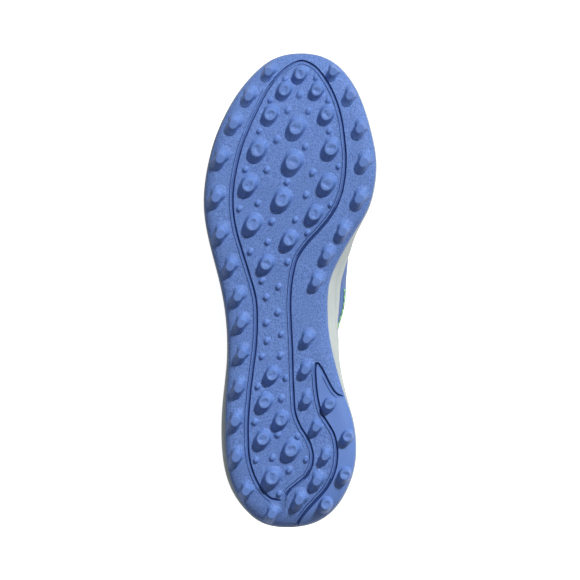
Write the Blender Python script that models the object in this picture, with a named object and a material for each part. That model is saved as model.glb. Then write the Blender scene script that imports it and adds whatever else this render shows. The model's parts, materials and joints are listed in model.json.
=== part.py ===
"""A low turf shoe for the right foot, lying on its outer side with its tread to the front.

The shoe is worked out upright in its own last frame: x runs from the heel to the toe, y towards
the inner (medial) side of the foot and z up from the plane that the lug tips touch. The pieces
hang from one empty, which then lays the whole shoe down. Lengths are in metres.
"""

import math

import bmesh
import bpy
import numpy as np
from mathutils import Matrix, Vector

# Driving dimensions of the sole
SHOE_LENGTH = 0.300
BALL_WIDTH = 0.109
TOE_SPRING = 0.018
OUTSOLE_THICKNESS = 0.003
OUTSOLE_EDGE_HEIGHT = 0.0065
OUTSOLE_EDGE_WALL = 0.0025
EDGE_WALL_FLARE = 0.0007
ROLL_WIDTH = 0.008
ROLL_HEIGHT = 0.005
HEEL_STACK = 0.030
RIM_HEIGHT = 0.008
RIM_WALL = 0.0025
SIDE_STEP = 0.0008

# Driving dimensions of the tread
LUG_HEIGHT = 0.0055
CENTRE_LUG_BASE = 0.0065
CENTRE_LUG_TIP = 0.0038
EDGE_LUG_BASE = 0.0052
EDGE_LUG_TIP = 0.0026
EDGE_LUG_INSET = 0.0072
LUG_ROOT = 0.0018
GROOVE_WIDTH = 0.0014
GROOVE_DEPTH = 0.0012

# Driving dimensions of the upper
INSTEP_HEIGHT = 0.122
HEEL_LEAN = 0.006
WALL = 0.0020
COLLAR_PAD = 0.0045
OVERLAY = 0.0010
INSOLE_THICKNESS = 0.004
INSOLE_EASE = 0.0012
INSOLE_DISH_WIDTH = 0.010
INSOLE_DISH_DEPTH = 0.001
TONGUE_THICKNESS = 0.005
LACE_WIDTH = 0.0065
LACE_THICKNESS = 0.0016
EYELET_RADIUS = 0.0023
EYELET_MARGIN = 0.0085

# Gaps that pieces keep to each other, on flat and on doubly curved faces
GAP = 0.0003
CURVED_GAP = 0.0006

# How finely the curved pieces are divided
AROUND = 60
UPPER_ROWS = 10
LINING_ROWS = 6
LUG_SIDES = 8
EYELET_SIDES = 6
DENSE = 720


class Table:
    """Rows with named columns. A column is read on a smooth curve through its rows."""

    def __init__(self, names, *rows):
        columns = np.array(rows, float).T
        self.station = columns[0]
        self.columns = dict(zip(names.split()[1:], columns[1:]))

    def read(self, name, station):
        knots, values = self.station, self.columns[name]
        slopes = np.gradient(values, knots)
        station = np.clip(station, knots[0], knots[-1])
        i = np.clip(np.searchsorted(knots, station) - 1, 0, len(knots) - 2)
        span = knots[i + 1] - knots[i]
        t = (station - knots[i]) / span
        start = values[i] * (1 + 2 * t) * (1 - t) ** 2 + slopes[i] * span * t * (1 - t) ** 2
        end = values[i + 1] * t**2 * (3 - 2 * t) + slopes[i + 1] * span * t**2 * (t - 1)
        return start + end


# The outsole's outline seen from below. station is a share of the shoe's length from the heel;
# lateral and medial are the distances from the long axis to each edge, as shares of the ball width.
OUTLINE = Table(
    "station lateral medial",
    (0.013, 0.180, 0.160),
    (0.040, 0.262, 0.256),
    (0.080, 0.328, 0.326),
    (0.130, 0.366, 0.370),
    (0.180, 0.378, 0.377),
    (0.230, 0.379, 0.356),
    (0.280, 0.373, 0.311),
    (0.340, 0.362, 0.262),
    (0.400, 0.363, 0.226),
    (0.460, 0.378, 0.214),
    (0.520, 0.410, 0.230),
    (0.570, 0.446, 0.290),
    (0.620, 0.479, 0.369),
    (0.670, 0.498, 0.448),
    (0.720, 0.494, 0.486),
    (0.770, 0.471, 0.495),
    (0.820, 0.433, 0.474),
    (0.870, 0.375, 0.438),
    (0.920, 0.294, 0.384),
    (0.960, 0.200, 0.311),
    (0.985, 0.113, 0.230),
)
TOE_CENTRE = 0.058  # the toe's tip lies this share of the ball width to the medial side

# Side profile. tread is a share of the toe spring, bed (top of the midsole under the foot) of the
# heel stack, rim (how far the midsole's wall stands above the bed) of the rim height, and ridge
# (top line of the last, also where the collar cuts it off) of the instep height.
PROFILE = Table(
    "station tread bed rim ridge",
    (0.00, 0.40, 1.09, 1.10, 1.105),
    (0.05, 0.17, 1.03, 1.10, 1.105),
    (0.11, 0.03, 1.00, 1.05, 1.105),
    (0.18, 0.00, 0.98, 1.00, 1.100),
    (0.30, 0.02, 0.95, 1.10, 1.065),
    (0.38, 0.05, 0.92, 1.35, 1.000),
    (0.45, 0.06, 0.87, 1.15, 0.925),
    (0.52, 0.04, 0.82, 0.90, 0.825),
    (0.60, 0.01, 0.75, 0.80, 0.700),
    (0.67, 0.00, 0.69, 0.75, 0.605),
    (0.74, 0.02, 0.67, 0.75, 0.535),
    (0.82, 0.14, 0.72, 0.80, 0.480),
    (0.89, 0.38, 0.84, 0.90, 0.450),
    (0.95, 0.68, 1.00, 1.00, 0.435),
    (1.00, 1.00, 1.16, 1.05, 0.430),
)

# How the sides stand off the outsole's outline, as shares of the ball width: the midsole's bulge
# beyond a straight wall, and how far inside the outline the upper's widest line runs. tuck is how
# far the upper draws in at its foot, as a share of its half width.
SIDES = Table(
    "station lateral_bulge medial_bulge lateral_inset medial_inset lateral_tuck medial_tuck",
    (0.00, 0.012, 0.012, 0.048, 0.048, 0.04, 0.04),
    (0.10, 0.032, 0.012, 0.050, 0.050, 0.04, 0.04),
    (0.22, 0.036, 0.012, 0.052, 0.044, 0.04, 0.05),
    (0.30, 0.026, 0.006, 0.045, -0.003, 0.04, 0.10),
    (0.36, 0.018, 0.000, 0.038, -0.042, 0.04, 0.19),
    (0.41, 0.014, 0.000, 0.034, -0.074, 0.04, 0.29),
    (0.46, 0.012, 0.000, 0.032, -0.120, 0.04, 0.36),
    (0.51, 0.012, 0.000, 0.034, -0.124, 0.04, 0.34),
    (0.55, 0.012, 0.002, 0.036, -0.096, 0.04, 0.24),
    (0.59, 0.012, 0.006, 0.038, -0.040, 0.04, 0.11),
    (0.63, 0.012, 0.010, 0.038, 0.014, 0.04, 0.05),
    (0.70, 0.012, 0.012, 0.038, 0.038, 0.04, 0.04),
    (0.85, 0.012, 0.012, 0.042, 0.042, 0.04, 0.04),
    (1.00, 0.012, 0.012, 0.048, 0.048, 0.04, 0.04),
)

# Cross sections of the upper. ridge_side is where its top line runs between the lateral (0) and
# the medial side (1), and square is the exponent of the section's superellipse.
SECTIONS = Table(
    "station ridge_side square",
    (0.00, 0.50, 2.0),
    (0.20, 0.50, 2.0),
    (0.40, 0.52, 2.0),
    (0.55, 0.55, 2.0),
    (0.70, 0.57, 2.1),
    (0.85, 0.55, 2.3),
    (1.00, 0.50, 2.4),
)
TOE_ROUND_START = 0.80
TOE_ROUND_POWER = 2.3

# The upper's top edge, a row for each place around it from the heel (0) to the toe (1): the
# station that the edge has there, and its turn up and over the section in degrees.
TOPLINE = Table(
    "around edge turn",
    (0.00, 0.000, 41.0),
    (0.08, 0.016, 40.3),
    (0.16, 0.061, 38.0),
    (0.23, 0.115, 33.5),
    (0.30, 0.190, 29.0),
    (0.35, 0.255, 29.0),
    (0.39, 0.310, 33.0),
    (0.42, 0.350, 41.0),
    (0.45, 0.385, 51.0),
    (0.48, 0.415, 60.5),
    (0.52, 0.450, 66.5),
    (0.57, 0.500, 71.0),
    (0.64, 0.560, 75.0),
    (0.71, 0.610, 78.5),
    (0.80, 0.645, 82.0),
    (0.88, 0.660, 86.0),
    (1.00, 0.665, 90.0),
)
LATERAL_DROP = 0.94  # the collar turns this much less far up on the lateral side
COLLAR_END = 0.42  # where around the edge the collar's padding has run out

# Centre lugs in three files through the forefoot and one cluster under the heel, and edge lugs
# that follow the band inside the arch and the heel's own panel. along is a share of the shoe's
# length, across of the ball width, and scale of the lug's own radii.
LUG_COLUMNS = "along across scale"
CENTRE_LUGS = (
    (0.921, -0.037, 0.86),
    (0.869, -0.119, 0.92),
    (0.794, -0.191, 1.05),
    (0.720, -0.244, 1.00),
    (0.638, -0.220, 1.00),
    (0.554, -0.142, 0.88),
    (0.955, 0.055, 0.82),
    (0.841, 0.031, 1.05),
    (0.768, 0.012, 1.12),
    (0.689, -0.051, 1.05),
    (0.605, -0.008, 0.92),
    (0.920, 0.151, 0.82),
    (0.869, 0.209, 0.90),
    (0.797, 0.233, 0.98),
    (0.722, 0.209, 0.98),
    (0.659, 0.137, 0.90),
    (0.321, -0.109, 0.85),
    (0.263, -0.152, 0.88),
    (0.226, -0.056, 0.88),
    (0.186, -0.162, 0.92),
    (0.163, 0.002, 1.00),
    (0.104, -0.109, 1.00),
    (0.259, 0.224, 0.80),
    (0.191, 0.330, 0.80),
    (0.111, 0.315, 0.86),
    (0.048, 0.205, 0.84),
)
BAND_LUGS = (
    (0.396, 0.093, 0.96),
    (0.331, 0.084, 0.96),
    (0.268, 0.093, 0.96),
    (0.210, 0.147, 0.90),
    (0.149, 0.199, 0.88),
    (0.097, 0.151, 1.00),
    (0.057, 0.050, 1.04),
)
LATERAL_EDGE_LUGS = 15
LATERAL_EDGE_SPAN = (0.045, 0.928)
MEDIAL_EDGE_LUGS = 8
MEDIAL_EDGE_SPAN = (0.540, 0.928)

# Grooves moulded in the tread: the loop round the centre panel, from the heel forward along its
# lateral side and back along its medial side, and the one round the heel's medial panel.
CENTRE_GROOVE = (
    (0.054, -0.062),
    (0.066, -0.135),
    (0.107, -0.210),
    (0.188, -0.249),
    (0.282, -0.236),
    (0.380, -0.203),
    (0.478, -0.202),
    (0.582, -0.283),
    (0.666, -0.335),
    (0.757, -0.316),
    (0.841, -0.244),
    (0.918, -0.142),
    (0.974, -0.003),
    (0.984, 0.065),
    (0.974, 0.132),
    (0.921, 0.238),
    (0.855, 0.296),
    (0.781, 0.318),
    (0.701, 0.291),
    (0.624, 0.161),
    (0.565, 0.035),
    (0.478, -0.003),
    (0.380, 0.007),
    (0.282, 0.016),
    (0.212, 0.055),
    (0.156, 0.127),
    (0.107, 0.089),
    (0.076, -0.013),
)
HEEL_GROOVE = (
    (-0.004, 0.028),
    (0.035, 0.094),
    (0.083, 0.209),
    (0.142, 0.267),
    (0.198, 0.248),
    (0.265, 0.159),
    (0.322, 0.144),
    (0.342, 0.143),
    (0.349, 0.156),
    (0.342, 0.173),
    (0.300, 0.228),
    (0.278, 0.277),
    (0.276, 0.330),
)
GROOVE_PITCH = 0.014
HAIRPIN_PITCH = 0.009

# Overlays on the upper, each between two places around it. low and high are shares of the way
# from the upper's foot to its top edge; low 0 stands for the top of the midsole's rim.
TOE_CAP = Table(
    "around low high",
    (0.385, 0.0, 0.12),
    (0.410, 0.0, 0.22),
    (0.440, 0.0, 0.36),
    (0.470, 0.0, 0.47),
    (0.500, 0.0, 0.51),
    (0.530, 0.0, 0.47),
    (0.560, 0.0, 0.36),
    (0.590, 0.0, 0.22),
    (0.615, 0.0, 0.12),
)
HEEL_COUNTER = Table(
    "around low high",
    (-0.150, 0.0, 0.34),
    (-0.120, 0.0, 0.52),
    (-0.075, 0.0, 0.66),
    (-0.035, 0.0, 0.80),
    (0.000, 0.0, 0.86),
    (0.035, 0.0, 0.80),
    (0.075, 0.0, 0.66),
    (0.120, 0.0, 0.52),
    (0.150, 0.0, 0.34),
)
EYESTAY = Table(
    "around low high",
    (0.236, 0.70, 0.985),
    (0.260, 0.72, 0.985),
    (0.300, 0.73, 0.985),
    (0.350, 0.75, 0.985),
    (0.400, 0.78, 0.985),
    (0.450, 0.80, 0.985),
    (0.500, 0.80, 0.985),
    (0.550, 0.80, 0.985),
    (0.600, 0.78, 0.985),
    (0.650, 0.75, 0.985),
    (0.700, 0.73, 0.985),
    (0.740, 0.72, 0.985),
    (0.764, 0.70, 0.985),
)
SADDLE = Table(
    "around low high",
    (0.217, 0.0, 0.55),
    (0.233, 0.0, 0.63),
    (0.250, 0.0, 0.67),
    (0.283, 0.0, 0.69),
    (0.300, 0.0, 0.67),
    (0.317, 0.0, 0.58),
    (0.333, 0.0, 0.40),
)
EYELETS_AROUND = (0.495, 0.560, 0.625, 0.700, 0.800)

# The tongue runs up the last's ridge under the throat, half_turn degrees to each side of it.
TONGUE = Table(
    "station half_turn",
    (0.360, 24.0),
    (0.375, 31.0),
    (0.400, 34.0),
    (0.450, 34.0),
    (0.550, 32.0),
    (0.650, 29.0),
    (0.700, 25.0),
)

# Colours are linear RGB
BLUE_RUBBER = (0.115, 0.225, 0.610)
PALE_FOAM = (0.560, 0.620, 0.590)
BLUE_KNIT = (0.085, 0.200, 0.520)
BLUE_FILM = (0.060, 0.150, 0.440)
GREEN_LINING = (0.330, 0.750, 0.180)
PALE_CORD = (0.650, 0.720, 0.680)


def clear_scene():
    for old in list(bpy.data.objects):
        bpy.data.objects.remove(old, do_unlink=True)


def material(name, colour, roughness):
    made = bpy.data.materials.new(name)
    made.use_nodes = True
    shader = made.node_tree.nodes["Principled BSDF"]
    shader.inputs["Base Color"].default_value = (*colour, 1.0)
    shader.inputs["Roughness"].default_value = roughness
    shader.inputs["Metallic"].default_value = 0.0
    made.diffuse_color = (*colour, 1.0)
    return made


def closed_spline(points, count):
    """count points along a closed cubic spline through the given points, with its tangents."""
    points = np.asarray(points, float)
    n = len(points)
    chord = np.linalg.norm(np.roll(points, -1, 0) - points, axis=1)
    before = np.roll(chord, 1)
    system = np.zeros((n, n))
    rows = np.arange(n)
    system[rows, (rows - 1) % n] = chord
    system[rows, rows] = 2 * (before + chord)
    system[rows, (rows + 1) % n] = before
    slope = (np.roll(points, -1, 0) - points) / chord[:, None]
    right = 3 * (chord[:, None] * np.roll(slope, 1, 0) + before[:, None] * slope)
    tangent = np.linalg.solve(system, right)
    place = np.linspace(0, n, count, endpoint=False)
    i = place.astype(int)
    j = (i + 1) % n
    t = (place - i)[:, None]
    span = chord[i][:, None]
    curve = (
        points[i] * (1 + 2 * t) * (1 - t) ** 2
        + points[j] * t**2 * (3 - 2 * t)
        + span * (tangent[i] * t * (1 - t) ** 2 + tangent[j] * t**2 * (t - 1))
    )
    return curve


def open_spline(points, pitch):
    """Points about one pitch apart on a smooth open curve through the given points."""
    points = np.asarray(points, float)
    length = np.concatenate([[0], np.cumsum(np.linalg.norm(np.diff(points, axis=0), axis=1))])
    table = Table("length x y", *np.column_stack([length, points]))
    places = np.linspace(0, length[-1], int(length[-1] / pitch) + 1)
    return np.column_stack([table.read("x", places), table.read("y", places)])


def normals_of(curve):
    tangent = np.roll(curve, -1, 0) - np.roll(curve, 1, 0)
    tangent /= np.linalg.norm(tangent, axis=1)[:, None]
    return np.column_stack([tangent[:, 1], -tangent[:, 0]])


def outline_points():
    """The outline as a dense closed curve, from the heel along the lateral side and back."""
    station = OUTLINE.station
    lateral = np.column_stack([station, -OUTLINE.columns["lateral"] * BALL_WIDTH / SHOE_LENGTH])
    medial = np.column_stack([station, OUTLINE.columns["medial"] * BALL_WIDTH / SHOE_LENGTH])
    toe = (1.0, TOE_CENTRE * BALL_WIDTH / SHOE_LENGTH)
    knots = np.vstack([[(0.0, 0.0)], lateral, [toe], medial[::-1]])
    return from_heel(closed_spline(knots * SHOE_LENGTH, DENSE))


def from_heel(curve):
    """The same closed curve, begun at its rearmost point."""
    return np.roll(curve, -int(np.argmin(curve[:, 0])), 0)


OUTLINE_CURVE = outline_points()
OUTLINE_NORMAL = normals_of(OUTLINE_CURVE)


def side_value(name, curve):
    """A SIDES column, lateral or medial by the side that each point of the curve is on."""
    station = curve[:, 0] / SHOE_LENGTH
    toe = int(np.argmax(curve[:, 0]))
    lateral = np.arange(len(curve)) <= toe
    return np.where(lateral, SIDES.read("lateral_" + name, station), SIDES.read("medial_" + name, station))


def offset_outline(outward):
    return OUTLINE_CURVE + OUTLINE_NORMAL * np.asarray(outward).reshape(-1, 1)


UPPER_CURVE = from_heel(offset_outline(-side_value("inset", OUTLINE_CURVE) * BALL_WIDTH))
UPPER_TOE = int(np.argmax(UPPER_CURVE[:, 0]))
UPPER_HEEL_X = float(UPPER_CURVE[:, 0].min())
UPPER_TOE_X = float(UPPER_CURVE[:, 0].max())


def rounds(count=AROUND):
    """Places around the shoe, 0 at the heel, a half at the toe, running along the lateral side."""
    return np.arange(count) / count


def station_of(around):
    return (1 - np.cos(2 * np.pi * around)) / 2


def ring(outward, height, count=AROUND):
    """A closed ring that follows the outline, moved outward and lifted. Both may vary around."""
    curve, normal = OUTLINE_CURVE, OUTLINE_NORMAL
    toe = int(np.argmax(curve[:, 0]))
    around = rounds(count)
    x = station_of(around) * SHOE_LENGTH
    indices = np.arange(len(curve) + 1)
    dense_x = np.append(curve[:, 0], curve[0, 0])
    lateral = np.interp(x, dense_x[: toe + 1], indices[: toe + 1])
    medial = np.interp(x, dense_x[toe:][::-1], indices[toe:][::-1])
    place = np.where(around <= 0.5, lateral, medial)
    flat = [np.interp(place, indices, np.append(v, v[0])) for v in (*curve.T, *normal.T)]
    outward = np.broadcast_to(outward, around.shape)
    height = np.broadcast_to(height, around.shape)
    return np.column_stack([flat[0] + flat[2] * outward, flat[1] + flat[3] * outward, height])


def tread_height(x):
    """Height of the outsole's flat underside above the plane of the lug tips."""
    return LUG_HEIGHT + TOE_SPRING * PROFILE.read("tread", x / SHOE_LENGTH)


def bed_height(x):
    return HEEL_STACK * PROFILE.read("bed", x / SHOE_LENGTH)


def side_of_upper(station, column):
    """y of the upper's widest line on its lateral or medial side."""
    x = UPPER_HEEL_X + (UPPER_TOE_X - UPPER_HEEL_X) * station
    lateral = UPPER_CURVE[: UPPER_TOE + 1]
    medial = np.vstack([UPPER_CURVE[UPPER_TOE:], UPPER_CURVE[:1]])[::-1]
    side = lateral if column == "lateral" else medial
    order = np.maximum.accumulate(side[:, 0])
    return np.interp(x, order, side[:, 1])


def last_section(station):
    """The cross section at a station: its x, ridge y, lateral and medial half widths, the height
    of its foot, its rise and the power of its superellipse."""
    x = UPPER_HEEL_X + (UPPER_TOE_X - UPPER_HEEL_X) * station
    share = x / SHOE_LENGTH
    lateral, medial = side_of_upper(station, "lateral"), side_of_upper(station, "medial")
    ridge = lateral + (medial - lateral) * SECTIONS.read("ridge_side", share)
    foot = bed_height(x) + GAP
    beyond = np.clip((station - TOE_ROUND_START) / (1 - TOE_ROUND_START), 0, 1)
    rounding = (1 - beyond**TOE_ROUND_POWER) ** (1 / TOE_ROUND_POWER)
    rise = (INSTEP_HEIGHT * PROFILE.read("ridge", share) - foot) * rounding
    return x, ridge, ridge - lateral, medial - ridge, foot, rise, 2 / SECTIONS.read("square", share)


def on_last(station, turn):
    """Points of the last. turn is in degrees: 0 at the lateral foot, 90 on the ridge, 180 at the
    medial foot."""
    x, ridge, lateral, medial, foot, rise, power = last_section(station)
    angle = np.radians(turn)
    across, up = np.cos(angle), np.abs(np.sin(angle)) ** power
    share = x / SHOE_LENGTH
    near = np.clip(1 - np.minimum(turn, 180 - turn) / 30, 0, 1) ** 2
    tuck = np.where(across > 0, SIDES.read("lateral_tuck", share), SIDES.read("medial_tuck", share))
    reach = np.abs(across) ** power * (1 - tuck * near)
    y = np.where(across > 0, ridge - lateral * reach, ridge + medial * reach)
    z = foot + rise * up
    risen = np.clip((z - foot) / (INSTEP_HEIGHT / 2), 0, 1.2)
    lean = HEEL_LEAN * (1.5 * risen**2 - 0.5 * risen) * np.clip(1 - station / 0.3, 0, 1) ** 2
    return np.stack([x + lean, y, z], axis=-1)


def last_share(x):
    """The station of the upper's own length at x."""
    return (x - UPPER_HEEL_X) / (UPPER_TOE_X - UPPER_HEEL_X)


def upper_face(around, rise):
    """Points of the upper's outer face: around as in rounds(), rise 0 at the foot and 1 at the
    top edge. At the heel a column climbs its own section. Towards the toe it moves in plan from
    the outline to the throat, and its turn follows from that."""
    around, rise = np.broadcast_arrays(np.asarray(around, float) % 1.0, np.asarray(rise, float))
    lateral_side = around <= 0.5
    toward = np.where(lateral_side, around, 1 - around) * 2
    foot = station_of(toward / 2)
    edge, top_turn = TOPLINE.read("edge", toward), TOPLINE.read("turn", toward)
    collar = np.clip(1 - toward / COLLAR_END, 0, 1)
    top_turn = top_turn * np.where(lateral_side, 1 - (1 - LATERAL_DROP) * np.sqrt(collar) * (toward > 0), 1)
    eased = 1 - np.cos(rise * np.pi / 2)
    station = foot + (edge - foot) * eased
    power = last_section(station)[6]

    def half_width(at):
        parts = last_section(at)
        return np.where(lateral_side, parts[2], parts[3])

    plan = half_width(foot) * (1 - eased) + half_width(edge) * np.cos(np.radians(top_turn)) ** power * eased
    share = np.clip(plan / np.maximum(half_width(station), 1e-6), 0, 1)
    front_turn = np.degrees(np.arccos(share ** (1 / power)))
    blend = np.clip((toward - 0.40) / 0.25, 0, 1)
    blend = blend**2 * (3 - 2 * blend)
    turn = top_turn * rise * (1 - blend) + front_turn * blend
    return on_last(station, np.where(lateral_side, turn, 180 - turn))


def upper_point(around, rise, lift=0.0):
    """The upper's outer face moved outward by lift along its normal."""
    around, rise = np.broadcast_arrays(np.asarray(around, float), np.asarray(rise, float))
    step = 2e-3
    low, high = np.clip(rise - step, 0, 1), np.clip(rise + step, 0, 1)
    along = upper_face(around + step, rise) - upper_face(around - step, rise)
    up = upper_face(around, high) - upper_face(around, low)
    normal = np.cross(along, up)
    normal /= np.maximum(np.linalg.norm(normal, axis=-1, keepdims=True), 1e-12)
    return upper_face(around, rise) + normal * np.asarray(lift)[..., None]


def rim_rise(around):
    """The rise at which the upper's face comes level with the top of the midsole's rim."""
    around = np.asarray(around, float)
    x = upper_face(around, np.zeros_like(around))[:, 0]
    wanted = bed_height(x) + RIM_HEIGHT * PROFILE.read("rim", x / SHOE_LENGTH)
    low, high = np.zeros_like(around), np.full_like(around, 0.9)
    for _ in range(24):
        middle = (low + high) / 2
        under = upper_face(around, middle)[:, 2] < wanted
        low, high = np.where(under, middle, low), np.where(under, high, middle)
    return high


def mesh_object(name, verts, faces, finish, smooth_angle=40.0):
    mesh = bpy.data.meshes.new(name)
    mesh.from_pydata([tuple(map(float, v)) for v in verts], [], faces)
    work = bmesh.new()
    work.from_mesh(mesh)
    bmesh.ops.recalc_face_normals(work, faces=work.faces)
    work.to_mesh(mesh)
    work.free()
    mesh.shade_smooth()
    mesh.set_sharp_from_angle(angle=math.radians(smooth_angle))
    mesh.materials.append(finish)
    made = bpy.data.objects.new(name, mesh)
    bpy.context.scene.collection.objects.link(made)
    return made


def ring_faces(count, rings, closed=False):
    """Quads between consecutive rings of count points."""
    faces = []
    for r in range(rings if closed else rings - 1):
        here, there = r * count, (r + 1) % rings * count
        for k in range(count):
            n = (k + 1) % count
            faces.append((here + k, here + n, there + n, there + k))
    return faces


def cap_faces(count, first):
    """Strips across a ring, from each lateral point to the medial one at the same station."""
    faces = []
    for k in range(count // 2):
        corners = (k, k + 1, count - k - 1, (count - k) % count)
        faces.append(tuple(first + c for c in dict.fromkeys(corners)))
    return faces


def capped_rings(name, rings, finish):
    """A closed solid through a stack of rings, with its first and last ring filled."""
    count = len(rings[0])
    faces = ring_faces(count, len(rings))
    faces += cap_faces(count, 0)
    faces += cap_faces(count, (len(rings) - 1) * count)
    return mesh_object(name, np.vstack(rings), faces, finish)


def outsole_ring(inset, height):
    """A ring of the outsole, inset from its outline, height above the tread's underside."""
    flat = ring(-inset, 0.0)
    flat[:, 2] = tread_height(flat[:, 0]) + height
    return flat


def roll(inset):
    """How far the tread curls up at a distance inside the outline."""
    share = np.clip(1 - inset / ROLL_WIDTH, 0, 1)
    return ROLL_HEIGHT * (1 - np.sqrt(1 - share**2))


def edge_distance(point):
    return float(np.min(np.linalg.norm(OUTLINE_CURVE - np.asarray(point[:2]), axis=1)))


def lug_places():
    """Every lug as (x, y, base radius, tip radius)."""
    places = []
    for rows, base, tip in (
        (CENTRE_LUGS, CENTRE_LUG_BASE, CENTRE_LUG_TIP),
        (BAND_LUGS, EDGE_LUG_BASE, EDGE_LUG_TIP),
    ):
        for along, across, scale in rows:
            places.append((along * SHOE_LENGTH, across * BALL_WIDTH, base * scale, tip * scale))
    inner = offset_outline(-EDGE_LUG_INSET)
    toe = int(np.argmax(inner[:, 0]))
    lateral, medial = inner[: toe + 1], np.vstack([inner[toe:], inner[:1]])[::-1]
    for side, number, span in (
        (lateral, LATERAL_EDGE_LUGS, LATERAL_EDGE_SPAN),
        (medial, MEDIAL_EDGE_LUGS, MEDIAL_EDGE_SPAN),
    ):
        walked = np.concatenate([[0], np.cumsum(np.linalg.norm(np.diff(side, axis=0), axis=1))])
        for place in np.linspace(span[0], span[1], number) * walked[-1]:
            x, y = (np.interp(place, walked, side[:, i]) for i in (0, 1))
            places.append((float(x), float(y), EDGE_LUG_BASE, EDGE_LUG_TIP))
    return places


def lug_mesh(finish):
    """All lugs in one mesh of separate frustums that reach into the tread."""
    work = bmesh.new()
    for x, y, base, tip in lug_places():
        bottom = float(tread_height(x))
        root = base + (base - tip) * LUG_ROOT / LUG_HEIGHT
        place = Matrix.Translation((x, y, bottom - LUG_HEIGHT / 2))
        turned = Matrix.Rotation(math.pi / LUG_SIDES, 4, "Z")
        lug = bmesh.ops.create_cone(
            work,
            cap_ends=True,
            segments=LUG_SIDES,
            radius1=tip,
            radius2=root,
            depth=LUG_HEIGHT,
            matrix=place @ turned,
        )
        for corner in lug["verts"]:
            if corner.co.z > bottom - LUG_HEIGHT / 2:
                corner.co.z = float(tread_height(corner.co.x)) + LUG_ROOT
    mesh = bpy.data.meshes.new("lugs")
    work.to_mesh(mesh)
    work.free()
    mesh.materials.append(finish)
    return helper("lugs", mesh)


def helper(name, mesh):
    """A tool for a Boolean, left out of the model."""
    made = bpy.data.objects.new(name, mesh)
    bpy.context.scene.collection.objects.link(made)
    made.hide_render = True
    made.display_type = "WIRE"
    return made


def groove_tool(name, rows, pitch):
    """A square bar that runs along a groove, half sunk in the tread's underside."""
    knots = np.array(rows) * (SHOE_LENGTH, BALL_WIDTH)
    path = open_spline(knots, pitch)
    tangent = np.gradient(path, axis=0)
    tangent /= np.linalg.norm(tangent, axis=1)[:, None]
    side = np.column_stack([-tangent[:, 1], tangent[:, 0]]) * GROOVE_WIDTH / 2
    under = tread_height(path[:, 0]) + roll(np.array([edge_distance(p) for p in path]))
    verts = []
    for p, s, z in zip(path, side, under):
        for sign, depth in ((-1, -GROOVE_DEPTH), (1, -GROOVE_DEPTH), (0.6, GROOVE_DEPTH), (-0.6, GROOVE_DEPTH)):
            verts.append((*(p + s * sign), z + depth))
    faces = [
        (a * 4 + c, a * 4 + (c + 1) % 4, (a + 1) * 4 + (c + 1) % 4, (a + 1) * 4 + c)
        for a in range(len(path) - 1)
        for c in range(4)
    ]
    last = (len(path) - 1) * 4
    faces += [(0, 1, 2, 3), (last, last + 1, last + 2, last + 3)]
    tool = mesh_object(name, verts, faces, bpy.data.materials["blue rubber"])
    tool.hide_render = True
    tool.display_type = "WIRE"
    return tool


def boolean(target, tool, operation):
    cut = target.modifiers.new(tool.name, "BOOLEAN")
    cut.operation = operation
    cut.solver = "EXACT"
    cut.object = tool


def make_outsole(finish):
    """One moulding: a plate that curls up at its edge, with its lugs and grooves."""
    insets = ROLL_WIDTH * np.array([1.0, 0.55, 0.20, 0.0])
    rings = [outsole_ring(inset, roll(inset)) for inset in insets]
    rings.append(outsole_ring(0.0, OUTSOLE_EDGE_HEIGHT))
    rings.append(outsole_ring(OUTSOLE_EDGE_WALL, OUTSOLE_EDGE_HEIGHT))
    inner = OUTSOLE_EDGE_WALL + EDGE_WALL_FLARE
    rings.append(outsole_ring(inner, OUTSOLE_THICKNESS + roll(inner)))
    rings.append(outsole_ring(ROLL_WIDTH, OUTSOLE_THICKNESS))
    outsole = capped_rings("outsole", rings, finish)
    boolean(outsole, lug_mesh(finish), "UNION")
    boolean(outsole, groove_tool("centre_groove", CENTRE_GROOVE, GROOVE_PITCH), "DIFFERENCE")
    boolean(outsole, groove_tool("heel_groove", HEEL_GROOVE, HAIRPIN_PITCH), "DIFFERENCE")
    return outsole


def rim_ring(rise_share, lift):
    """A ring on the upper's face, rise_share of the way up to the rim's top."""
    around = rounds()
    return upper_point(around, rim_rise(around) * rise_share, np.full(AROUND, lift))


# The midsole's side from the outsole's edge (0) to the top of its rim (1): where each row lies,
# how much of the side's bulge it has, and how many side steps it stands back.
MIDSOLE_SIDE = (
    (0.00, 0.00, 0.0),
    (0.13, 0.62, 0.0),
    (0.38, 1.00, 0.0),
    (0.55, 0.92, 0.0),
    (0.59, 0.86, 1.0),
    (0.67, 0.76, 1.0),
    (0.72, 0.70, 0.0),
    (1.00, 0.00, 0.4),
)


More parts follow.
